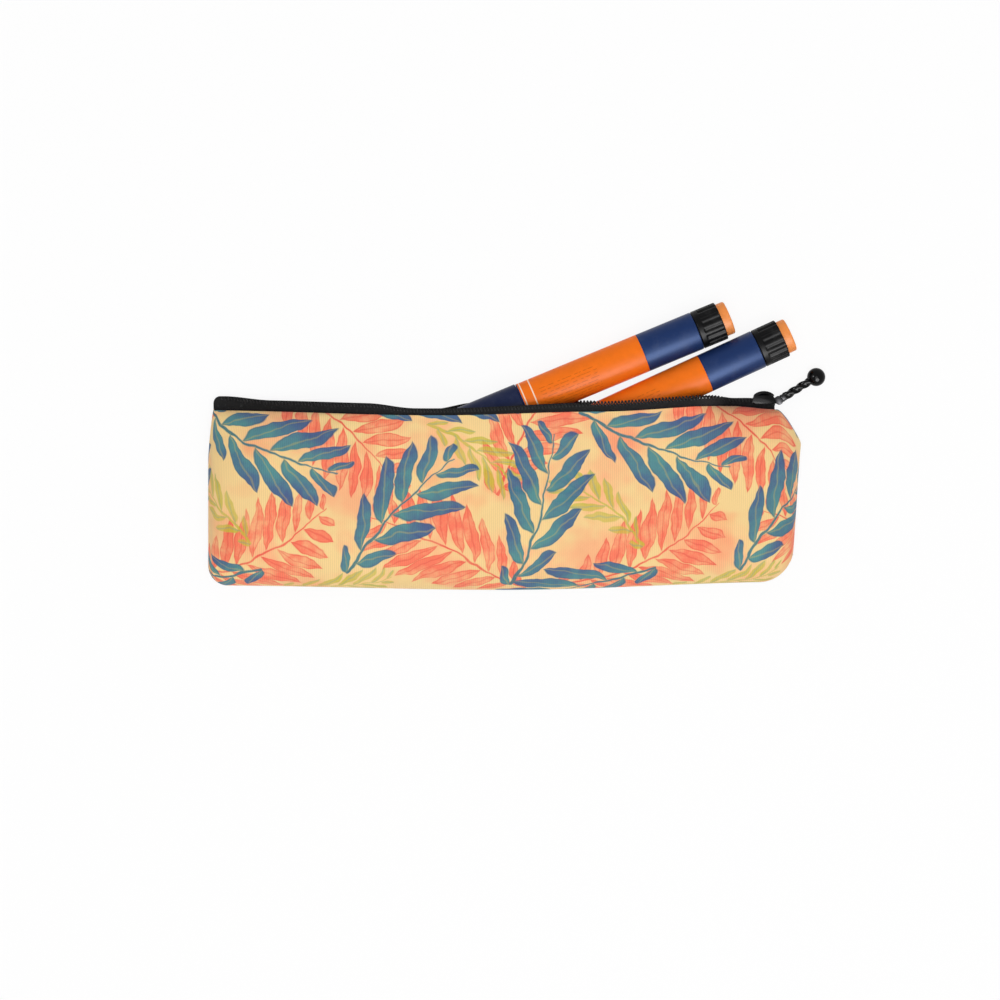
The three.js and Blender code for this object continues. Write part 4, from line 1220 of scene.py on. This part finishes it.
def bare_teeth(x):
    """How far the teeth stand clear of the tape: 1 beside the pens, 0 left of them and where the slider runs."""
    meshed = smooth((x - TEETH_MESH) / 8) * smooth((TEETH_MESH_END - x) / 3)
    return smooth((x - TEETH_BARE) / 10) * (1 - meshed)


def zip_tape(side, finish):
    """Tape: a ribbon from under the panel, over its top edge and into the coil, waved along its free edge."""
    corner = TAPE_START + TAPE_CORNER * (1 - np.cos(np.linspace(0, np.pi / 2, 12)))
    along = np.concatenate([corner, np.arange(TAPE_START + TAPE_CORNER + 0.5, TAPE_END, 0.7)])[:, None]
    under = np.linspace(-TAPE_LAP, 0, 8)[None, :]
    above = np.linspace(0, 1, 9)[None, 1:]
    grid = wall(along, 1 + np.concatenate([under, np.zeros((1, 8))], axis=1) / HEIGHT)
    free = np.concatenate([np.zeros((1, 8)), above], axis=1)
    show = tape_show(along, side) + FIT_GAP + COIL_WIDTH * lerp(1, 0.45, bare_teeth(along))
    show = show - corner_rise(along - TAPE_START, TAPE_CORNER)
    ripple = TAPE_RIPPLE * free * waves(along, 0 * along, TAPE_RIPPLE_LENGTH, 51 if side == "front" else 52)
    points = stacked(grid["x"], grid["y"] + show * free, TAPE_SIDES[side](grid) + ripple)
    sew(f"{side}_tape_woven", f"zip_tape_{side}", ("zip_tape", finish), points, developed(points), TAPE, 0)


def zip_coil(side, pitch, finish):
    """Coil: a wire that winds round the tape's edge, one oval turn to each tooth."""
    first = LEFT + LINING_INSET
    turns = round((COIL_END - first) / pitch)
    turn = np.linspace(0, 2 * np.pi * turns, 10 * turns + 1)
    x = lerp(first, COIL_END, turn / turn[-1])
    grid = wall(x, np.ones_like(x))
    width = COIL_WIDTH + TOOTH_REACH * bare_teeth(x) * smooth((ZIP_SHUT_LEFT - x) / 8)
    foot = grid["y"] + tape_show(x, side) + FIT_GAP
    y = foot + width / 2 + (width / 2 - COIL_WIRE) * np.cos(turn)
    path = stacked(grid["x"], y, TAPE_SIDES[side](grid) + (COIL_DEPTH / 2 - COIL_WIRE) * np.sin(turn))
    spoke = stacked(0 * x, np.cos(turn), np.sin(turn))
    piece = tube(f"{side}_coil_wound", path, COIL_WIRE, 6, across=spoke)
    settle(piece, f"zip_coil_{side}", "zip_coil", finish)


def stitch_row(side, pitch, finish):
    """Stitches that hold the tape: short lens-shaped threads in a row just above the panel's edge."""
    middle = np.arange(LEFT + 6, SLIDER_LEFT - 10, pitch)
    along = np.linspace(-0.4, 0.4, STITCH_RINGS) * pitch
    turn = np.linspace(0, 2 * np.pi, STITCH_SIDES, endpoint=False)
    x = (middle[:, None] + along[None, :])[..., None]
    width = STITCH_RADIUS * np.sqrt(1 - (along / (0.45 * pitch)) ** 2)[None, :, None]
    grid = wall(x, np.ones_like(x))
    y = grid["y"] + np.minimum(STITCH_RISE, 0.5 * tape_show(x, side)) + width * np.cos(turn)
    z = TAPE_SIDES[side](grid) + TAPE / 2 + 0.02 + width * np.sin(turn)
    points = stacked(grid["x"] + 0 * turn, y, z)
    one = grid_quads(STITCH_RINGS, STITCH_SIDES, closed_columns=True)[:, ::-1]
    first = STITCH_RINGS * STITCH_SIDES * np.arange(len(middle))
    quads = (one[None] + first[:, None, None]).reshape(-1, 4)
    attach(make_piece(f"{side}_tape_stitches", points, quads), "pouch", finish)


def cast_slider(finish):
    """Slider: a copy of its solid, merged, with its top drawn in to a shield shape and its edges rounded."""
    mesh = frame["nodes"]["zip_slider"].data.copy()
    mesh.name = "slider_cast"
    mesh.materials.clear()
    piece = weld(show_mesh(mesh))
    points = np.empty(3 * len(mesh.vertices), np.float32)
    mesh.vertices.foreach_get("co", points)
    x, y = points[0::3] / MM, points[1::3] / MM
    middle = (SLIDER_LEFT + SLIDER_RIGHT) / 2
    drawn_in = middle + (x - middle) * (1 - SLIDER_TAPER * smooth((y - TAPER_START) / TAPER_RUN))
    points[0::3] = np.where(x < SLIDER_RIGHT + 0.01, drawn_in, x) * MM
    mesh.vertices.foreach_set("co", points)
    bevel = piece.modifiers.new("edges", "BEVEL")
    bevel.width = SLIDER_EDGE * MM
    bevel.segments = 3
    bevel.limit_method = "ANGLE"
    bevel.angle_limit = np.radians(35)
    bevel.harden_normals = True
    settle(piece, "zip_slider", "black_metal", finish)


def ringed(name, shapes):
    """One piece from closed shapes, each an array of rings of points with a flat cap on its first and last ring."""
    quads, caps, count = [], [], 0
    for rings in shapes:
        rows, sides = rings.shape[:2]
        corners = np.arange(count, count + rows * sides).reshape(rows, sides)
        quads.append(grid_quads(rows, sides, closed_columns=True) + count)
        caps += [corners[0].tolist(), corners[-1].tolist()]
        count += rows * sides
    points = np.concatenate([rings.reshape(-1, 3) for rings in shapes])
    return weld(make_piece(name, points, np.concatenate(quads), caps=caps))


def slider_dome(finish):
    """Domed bail: half an ellipsoid on the slider's plate, in rings that shrink as the cosine of their height.

    A round rib follows a half ellipse over its back.
    """
    lift = np.linspace(*DOME_LIFT, 12)[:, None]
    turn = np.linspace(0, 2 * np.pi, 48, endpoint=False)[None, :]
    x, y, z = DOME_MIDDLE
    along, rise, across = DOME_REACH
    shrink = np.cos(lift)
    rings = stacked(x + along * shrink * np.cos(turn), y + rise * np.sin(lift), z + across * shrink * np.sin(turn))
    attach(ringed("slider_dome_cast", [rings]), "slider", finish)
    over = np.linspace(*RIB_ARC, 41)
    path = stacked(x + along * np.cos(over), y + rise * np.sin(over), z)
    attach(tube("slider_rib_cast", path, RIB_RADIUS, 12), "slider", finish)


def pull_frame():
    """Start and axis of the pull, with the two directions across it."""
    axis = np.array([np.cos(PULL_ANGLE), np.sin(PULL_ANGLE), 0])
    return np.array(HINGE), axis, np.cross(UP, axis), UP


def pull_eye(finish):
    """Eye: two round-ended cheeks beside the slider's lug, a pin through it, and a waisted collar on the bar."""
    start, axis, side, upward = pull_frame()
    turn = np.linspace(0, 2 * np.pi, 32, endpoint=False)
    circle = np.stack([np.cos(turn), np.sin(turn)], axis=1)
    rim = np.array(CHEEK_RADIUS) * circle + np.maximum(circle[:, :1], 0) ** 0.25 * [COLLAR_START - 1, 0]

    def plate(flat, heights, shares):
        grown = flat[None] * np.array(shares)[:, None, None]
        return start + grown[..., :1] * axis + grown[..., 1:] * side + np.array(heights)[:, None, None] * upward

    cheek = CHEEK_GAP + np.array(CHEEK_LAYERS)
    cheeks = [plate(rim, heights, CHEEK_SHARES) for heights in (cheek, -cheek)]
    pin = plate(PIN_RADIUS * circle, (-CHEEK_GAP - 0.1, CHEEK_GAP + 0.1), (1, 1))
    station = np.array([COLLAR_START, COLLAR_START + 0.25, COLLAR_START + 1.0, BAR_START - 0.05, BAR_START + 0.2])
    spoke = circle[:, :1] * side + circle[:, 1:] * upward
    collar = start + station[:, None, None] * axis + np.array(COLLAR_RADII)[:, None, None] * spoke
    piece = ringed("pull_eye_bent", [*cheeks, pin, collar])
    settle(piece, "zip_pull_eye", "grey_metal", finish)


def twisted_bar(finish):
    """Bar: a circle whose radius rises and falls three times round it, turned steadily along its length."""
    end = PULL_LENGTH - BALL_RADIUS + BALL_SOCKET - FIT_GAP
    stations = np.linspace(BAR_START, end, 70)
    profile = [(BAR_START, 0, 0), *[(station, BAR_RADIUS, 0) for station in stations], (end, 0, 0)]

    def twist(angle, station, radius):
        turn = 2 * np.pi * BAR_TURNS * (station - BAR_START) / (end - BAR_START)
        return np.where(radius > 0, radius + BAR_TWIST_DEPTH * np.cos(3 * (angle - turn)), 0)

    piece = turned("pull_bar_twisted", pull_frame(), profile, 48, twist)
    settle(piece, "zip_pull_bar", "gloss_black", finish)


def pull_ball(finish):
    """Ball: a half circle turned round the pull's axis, a little flattened where the bar goes in."""
    turn = np.linspace(0, np.pi, 49)
    stations = PULL_LENGTH - BALL_RADIUS * np.cos(turn)
    stations = np.maximum(stations, PULL_LENGTH - 0.93 * BALL_RADIUS)
    profile = [(station, max(0.0, radius), 0) for station, radius in zip(stations, BALL_RADIUS * np.sin(turn))]
    piece = turned("pull_ball_polished", pull_frame(), profile, 64)
    settle(piece, "zip_pull_ball", "gloss_black", finish)


class ZIP_OT_tapes(bpy.types.Operator):
    """Weave the two zip tapes and sew them to the covers"""

    bl_idname = "cooling_case.tapes"
    bl_label = "Zip Tapes"

    def execute(self, context):
        look = context.scene.cooling_zip
        cloth = woven_cloth("Zip Tape", look.tape, 0.55, 0.1)
        yarn = moulded("Tape Thread", look.tape, 0.7, Specular_IOR_Level=0.1)
        for side in TAPE_SIDES:
            zip_tape(side, cloth)
            stitch_row(side, look.stitch_pitch / MM, yarn)
        return {"FINISHED"}


class ZIP_OT_coils(bpy.types.Operator):
    """Wind the two rows of teeth"""

    bl_idname = "cooling_case.coils"
    bl_label = "Zip Coils"

    def execute(self, context):
        look = context.scene.cooling_zip
        nylon = moulded("Nylon Coil", look.coil, 0.42, Specular_IOR_Level=0.12)
        for side in TAPE_SIDES:
            zip_coil(side, look.tooth_pitch / MM, nylon)
        return {"FINISHED"}


class ZIP_OT_slider(bpy.types.Operator):
    """Cast the slider and hang the pull on it"""

    bl_idname = "cooling_case.slider"
    bl_label = "Slider and Pull"

    def execute(self, context):
        look = context.scene.cooling_zip
        enamel = moulded("Black Enamel", look.slider, 0.22, wear=0.15, Specular_IOR_Level=0.1)
        worn = moulded("Worn Metal", look.collar, 0.38, wear=0.3, tone=0.06, Metallic=0.8)
        gloss = moulded("Gloss Black", look.pull, 0.12, Specular_IOR_Level=0.1)
        cast_slider(enamel)
        slider_dome(enamel)
        pull_eye(worn)
        twisted_bar(gloss)
        pull_ball(gloss)
        return {"FINISHED"}


def straight(first, last, count, radius):
    """Profile corners at even stations along a straight wall."""
    return [(station, radius, 0) for station in np.linspace(first, last, count)]


def flutes(angle, station, radius):
    """Grip: round ribs on the outer wall, that rise after a plain collar."""
    rib = (0.5 - 0.5 * np.cos(FLUTES * angle)) ** 1.5
    depth = FLUTE_DEPTH * smooth((station - FLUTE_START) / FLUTE_RISE) * rib
    return np.where(radius > PEN_RADIUS - 0.3, radius - depth, radius)


def thread(angle, station, radius):
    """Screw thread: a cosine groove that climbs one pitch on each turn, on the slim part of the rod."""
    groove = THREAD_DEPTH * (1 - np.cos(2 * np.pi * station / THREAD_PITCH - angle))
    slim = (radius > 1) & (radius < 2.5) & (station > THREAD_LEFT) & (station < THREAD_RIGHT)
    return np.where(slim, radius - groove, radius)


def outside_profiles(edge):
    """Corners of the pieces that show, as (station, radius, round), by node."""
    return {
        "barrel": [
            (NECK_END, 6.9, 0.1), (NECK_END, NECK_RADIUS, 0.2), (-BARREL_LENGTH, NECK_RADIUS, 0.1),
            (-BARREL_LENGTH, PEN_RADIUS, 0.15), (LABEL_END - 0.25, PEN_RADIUS, 0.1),
            (LABEL_END - 0.25, LABEL_BED, 0.05), (LABEL_START + 0.25, LABEL_BED, 0.05),
            (LABEL_START + 0.25, PEN_RADIUS, 0.1), (0, PEN_RADIUS, edge), (0, 6.85, 0.15),
            (-BARREL_LENGTH + 0.95, 6.85, 0.15),
        ],
        "label": [
            (LABEL_END - 0.2, LABEL_BED + 0.05, 0.05), (LABEL_END - 0.2, PEN_RADIUS + 0.02, 0.1),
            (LABEL_START + 0.2, PEN_RADIUS + 0.02, 0.1), (LABEL_START + 0.2, LABEL_BED + 0.05, 0.05),
        ],
        "cap": [
            (CAP_TIP, 0, 0), (CAP_TIP, CAP_RADIUS, 1.6), (CAP_MOUTH, CAP_RADIUS, edge), (CAP_MOUTH, 7.8, 0.2),
            (CAP_TIP + 1.5, 7.8, 0.8), (CAP_TIP + 1.5, 0, 0),
        ],
        "dose_selector": [
            (-2.4, 3.8, 0.1), (-2.4, 6.5, 0.15), (SELECTOR_START, 6.5, 0.1), (SELECTOR_START, PEN_RADIUS, edge),
            (2.2, PEN_RADIUS, 0), *straight(2.5, 3.1, 5, PEN_RADIUS), (7, PEN_RADIUS, 0), (10.6, PEN_RADIUS, 0),
            (SELECTOR_END, PEN_RADIUS, edge), (SELECTOR_END, 7.6, 0.2), (8, 7.6, 0.15), (8, 3.8, 0.15),
        ],
        "dose_button": [
            (13.4, 0, 0), (13.4, 5.4, 0.2), (9.8, 5.4, 0.1), (9.8, BUTTON_RADIUS, 0.1),
            (BUTTON_END, BUTTON_RADIUS, 1.0), (BUTTON_END, 5.6, 0.6), (BUTTON_END - 0.3, 3.6, 1.5),
            (BUTTON_END - 0.35, 0, 0),
        ],
    }


def inside_profiles():
    """Corners of the pieces inside a pen, as (station, radius, round), by node."""
    return {
        "cartridge_holder": [
            (-140.5, 4.15, 0.1), (-140.5, 4.7, 0.15), (-136.05, 4.7, 0.1), (-135.5, 6.6, 0.3), (-91.95, 6.6, 0.1),
            (-91.95, 7.2, 0.15), (-90.3, 7.2, 0.15), (-90.3, 6.6, 0.1), (-81.55, 6.6, 0.1), (-81.55, 6.05, 0.1),
            (-135.2, 6.05, 0.3), (-135.2, 4.15, 0.1),
        ],
        "cartridge": [
            (-138.7, 2.25, 0.1), (-138.7, 3.2, 0.2), (-134.9, 3.2, 0.4), (-133.95, 5.75, 0.9), (-76.9, 5.75, 0.25),
            (-76.9, 4.8, 0.2), (-133, 4.8, 0.8), (-133.95, 2.25, 0.3),
        ],
        "septum": [
            (-139.7, 0, 0), (-139.7, 3.2, 0.15), (-139, 3.2, 0.15), (-139, 1.95, 0.1), (-137.2, 1.95, 0.1),
            (-137.2, 0, 0),
        ],
        "crimp_cap": [
            (-140.35, 1.6, 0.1), (-140.35, 3.85, 0.3), (-135.2, 3.85, 0.15), (-135.2, 3.5, 0.05), (-140, 3.5, 0.15),
            (-140, 1.6, 0.05),
        ],
        "stopper": [
            (-88.9, 0, 0), (-88.5, 4.5, 0.3), (-87.2, 4.5, 0.3), (-87, 4.15, 0.2), (-86, 4.15, 0.2),
            (-85.8, 4.5, 0.3), (-84.6, 4.5, 0.3), (-84.4, 4.15, 0.2), (-83.8, 4.15, 0.2), (-83.6, 4.5, 0.2),
            (-82.9, 4.5, 0.2), (-82.9, 0, 0),
        ],
        "piston_rod": [
            (-82.6, 0, 0), (-82.6, 3.8, 0.2), (-81.65, 3.8, 0.2), (-81.65, 2.2, 0.1), *straight(-81, -11, 240, 2.2),
            (-10.6, 2.2, 0.3), (-10.6, 0, 0),
        ],
        "drive_sleeve": [(-42.3, 2.6, 0.1), (-42.3, 3.4, 0.2), (7.7, 3.4, 0.2), (7.7, 2.6, 0.1)],
        "dose_drum": [(-39.7, 4.4, 0.1), (-39.7, 6.5, 0.2), (-2.7, 6.5, 0.2), (-2.7, 4.4, 0.1)],
    }


# Reliefs on turned pieces, with the sides that each needs round its axis
RELIEFS = {"dose_selector": (flutes, 12 * FLUTES), "piston_rod": (thread, 64)}


def turn_pieces(number, profiles, finishes, segments):
    """Turns pieces of a pen round its axis and puts them in the places of their solids."""
    for node, profile in profiles.items():
        relief, sides = RELIEFS.get(node, (None, segments))
        piece = turned(f"pen_{number}_{node}_turned", pen_frame(number), profile, sides, relief)
        settle(piece, f"pen_{number}_{node}", *finishes[node])


def button_spring(number, finish):
    """Spring: a wire along a helix from its seat in the selector to just short of the pressed button."""
    start, axis, level, upward = pen_frame(number)
    turn = np.linspace(0, 2 * np.pi * SPRING_TURNS, 97)
    spoke = np.cos(turn)[:, None] * level + np.sin(turn)[:, None] * upward
    path = start + lerp(SPRING_SEAT, SPRING_TOP, turn / turn[-1])[:, None] * axis + SPRING_RADIUS * spoke
    piece = tube(f"pen_{number}_spring_coiled", path, SPRING_WIRE, 8, across=spoke)
    settle(piece, f"pen_{number}_button_spring", "spring_steel", finish)


class PEN_OT_outsides(bpy.types.Operator):
    """Turn the outside pieces of both pens"""

    bl_idname = "cooling_case.pen_outsides"
    bl_label = "Pen Outsides"

    def execute(self, context):
        look = context.scene.cooling_pens
        blue_gleam = {"Specular_IOR_Level": 0.23, "Specular_Tint": (0.43, 0.59, 1, 1)}
        navy = moulded("Navy Plastic", look.navy, 0.4, **blue_gleam)
        # Painted shade: the cap takes a darker copy of the navy, for the shade that the pouch casts on it
        navy_in_painted_shade = moulded("Dark Navy Plastic", look.navy_in_painted_shade, 0.34, Specular_IOR_Level=0.1)
        black = moulded("Black Plastic", look.black, 0.36, Specular_IOR_Level=0.09)
        orange = moulded("Orange Plastic", look.button, 0.38, Specular_IOR_Level=0.15)
        finishes = {
            "barrel": ("navy_plastic", navy),
            "label": ("orange_label", wrapped_label("Wrapped Label", look)),
            "cap": ("navy_plastic", navy_in_painted_shade),
            "dose_selector": ("black_plastic", black),
            "dose_button": ("orange_plastic", orange),
        }
        for number in PENS:
            turn_pieces(number, outside_profiles(look.edge_round / MM), finishes, 96)
        return {"FINISHED"}


class PEN_OT_insides(bpy.types.Operator):
    """Turn the pieces inside both pens"""

    bl_idname = "cooling_case.pen_insides"
    bl_label = "Pen Insides"

    def execute(self, context):
        look = context.scene.cooling_pens
        grey = moulded("Grey Plastic", srgb(154, 160, 166), 0.45)
        finishes = {
            "cartridge_holder": ("clear_plastic", clear("Clear Plastic", srgb(236, 240, 242), 1.49)),
            "cartridge": ("cartridge_glass", clear("Cartridge Glass", look.liquid, 1.5)),
            "septum": ("septum_rubber", moulded("Septum Rubber", srgb(181, 101, 60), 0.7)),
            "crimp_cap": ("crimp_aluminium", moulded("Crimped Aluminium", srgb(201, 204, 208), 0.28, Metallic=1.0)),
            "stopper": ("stopper_rubber", moulded("Stopper Rubber", srgb(60, 63, 68), 0.7)),
            "piston_rod": ("grey_plastic", grey),
            "drive_sleeve": ("grey_plastic", grey),
            "dose_drum": ("white_plastic", moulded("White Plastic", srgb(238, 238, 234), 0.4)),
        }
        steel = moulded("Spring Steel", srgb(184, 188, 194), 0.25, Metallic=1.0)
        for number in PENS:
            turn_pieces(number, inside_profiles(), finishes, 64)
            button_spring(number, steel)
        return {"FINISHED"}


def seen_directly(net):
    """1 for camera, glossy and transmission rays, 0 for the rays that carry light."""
    path = net.add("ShaderNodeLightPath").outputs
    return net.highest(*(path[f"Is {kind} Ray"] for kind in ("Camera", "Glossy", "Transmission")))


def make_camera(look):
    """Camera straight above the pouch, framed so that the picture shows the stated width of floor."""
    lens = bpy.data.cameras.new("Camera")
    lens.lens = lens.sensor_width * (look.camera_height - 8 * MM) / look.frame_width
    lens.clip_end = 100
    camera = bpy.data.objects.new("Camera", lens)
    camera.location = (-look.frame_shift, 0, look.camera_height)
    bpy.context.scene.collection.objects.link(camera)
    bpy.context.scene.camera = camera


def make_floor(look):
    """Pale floor: a flat square that shows near white where it is seen, and still takes the shadow."""
    half = look.floor_size / 2 / MM
    corners = stacked(half * np.array([-1, 1, 1, -1]), half * np.array([-1, -1, 1, 1]), -FLOOR_DROP)
    floor = make_piece("floor", corners, np.array([[0, 1, 2, 3]]))
    finish, net, shader = new_material("Pale Floor")
    set_plain(shader, Base_Color=(*look.floor, 1), Roughness=0.9, Specular_IOR_Level=0)
    glow = net.add("ShaderNodeEmission", {"Color": (1, 1, 1)})
    seen = seen_directly(net) * FLOOR_GLOW
    both = net.add("ShaderNodeMixShader", {0: seen, 1: shader.outputs[0], 2: glow.outputs[0]})
    net.put(finish.node_tree.nodes["Material Output"].inputs["Surface"], both.outputs[0])
    floor.data.materials.append(finish)


def hang_lamp(name, lamp_power, place, size, share_of_power):
    """Round soft lamp that faces the pouch."""
    lamp = bpy.data.lights.new(name, "AREA")
    lamp.shape = "DISK"
    lamp.size = size
    lamp.energy = lamp_power * share_of_power
    stand = bpy.data.objects.new(name, lamp)
    stand.location = place
    stand.rotation_euler = Vector(place).to_track_quat("Z", "Y").to_euler()
    bpy.context.scene.collection.objects.link(stand)
    return stand


def make_light(look):
    """Even light from all round, one large soft lamp above, and two lamps that are seen only in gloss."""
    world = bpy.data.worlds.new("World")
    world.use_nodes = True
    bpy.context.scene.world = world
    net = Net(world.node_tree)
    sky = world.node_tree.nodes["Background"]
    sky.inputs["Color"].default_value = (1, 1, 1, 1)
    net.put(sky.inputs["Strength"], seen_directly(net) * (1 - look.sky) + look.sky)
    hang_lamp("Soft Lamp", look.lamp_power, *SOFT_LAMP)
    for name, lamp in (("Gleam Lamp", GLEAM_LAMP), ("Spark Lamp", SPARK_LAMP)):
        hang_lamp(name, look.lamp_power, *lamp).visible_diffuse = False


class CASE_OT_stage(bpy.types.Operator):
    """Set up the camera, the floor and the light"""

    bl_idname = "cooling_case.stage"
    bl_label = "Stage"

    def execute(self, context):
        look = context.scene.cooling_stage
        make_camera(look)
        make_floor(look)
        make_light(look)
        context.scene.view_settings.view_transform = "Standard"
        return {"FINISHED"}


OPERATORS = (
    CASE_OT_stage,
    POUCH_OT_covers,
    POUCH_OT_linings,
    POUCH_OT_gel_pads,
    ZIP_OT_tapes,
    ZIP_OT_coils,
    ZIP_OT_slider,
    PEN_OT_outsides,
    PEN_OT_insides,
)
PROPERTIES = {
    "cooling_pouch": PouchProperties,
    "cooling_zip": ZipProperties,
    "cooling_pens": PenProperties,
    "cooling_stage": StageProperties,
}


class CASE_PT_sidebar(bpy.types.Panel):
    """Sizes, colours and steps of the cooling case"""

    bl_idname = "CASE_PT_sidebar"
    bl_label = "Cooling Case"
    bl_space_type = "VIEW_3D"
    bl_region_type = "UI"
    bl_category = "Cooling Case"

    def draw(self, context):
        for name, group in PROPERTIES.items():
            box = self.layout.box()
            for key in group.__annotations__:
                box.prop(getattr(context.scene, name), key)
        for operator in OPERATORS:
            self.layout.operator(operator.bl_idname)


def register():
    """Registers the classes and hangs the properties on the scene."""
    for part in (*PROPERTIES.values(), *OPERATORS, CASE_PT_sidebar):
        bpy.utils.register_class(part)
    for name, group in PROPERTIES.items():
        setattr(bpy.types.Scene, name, bpy.props.PointerProperty(type=group))


def unregister():
    """Takes the properties and classes away again."""
    for name in PROPERTIES:
        delattr(bpy.types.Scene, name)
    for part in (CASE_PT_sidebar, *reversed(OPERATORS), *reversed(PROPERTIES.values())):
        bpy.utils.unregister_class(part)


def main():
    """Builds the whole scene."""
    register()
    for operator in OPERATORS:
        name = operator.bl_idname.split(".")[1]
        getattr(bpy.ops.cooling_case, name)()
    bpy.context.view_layer.update()


if __name__ == "__main__":
    main()
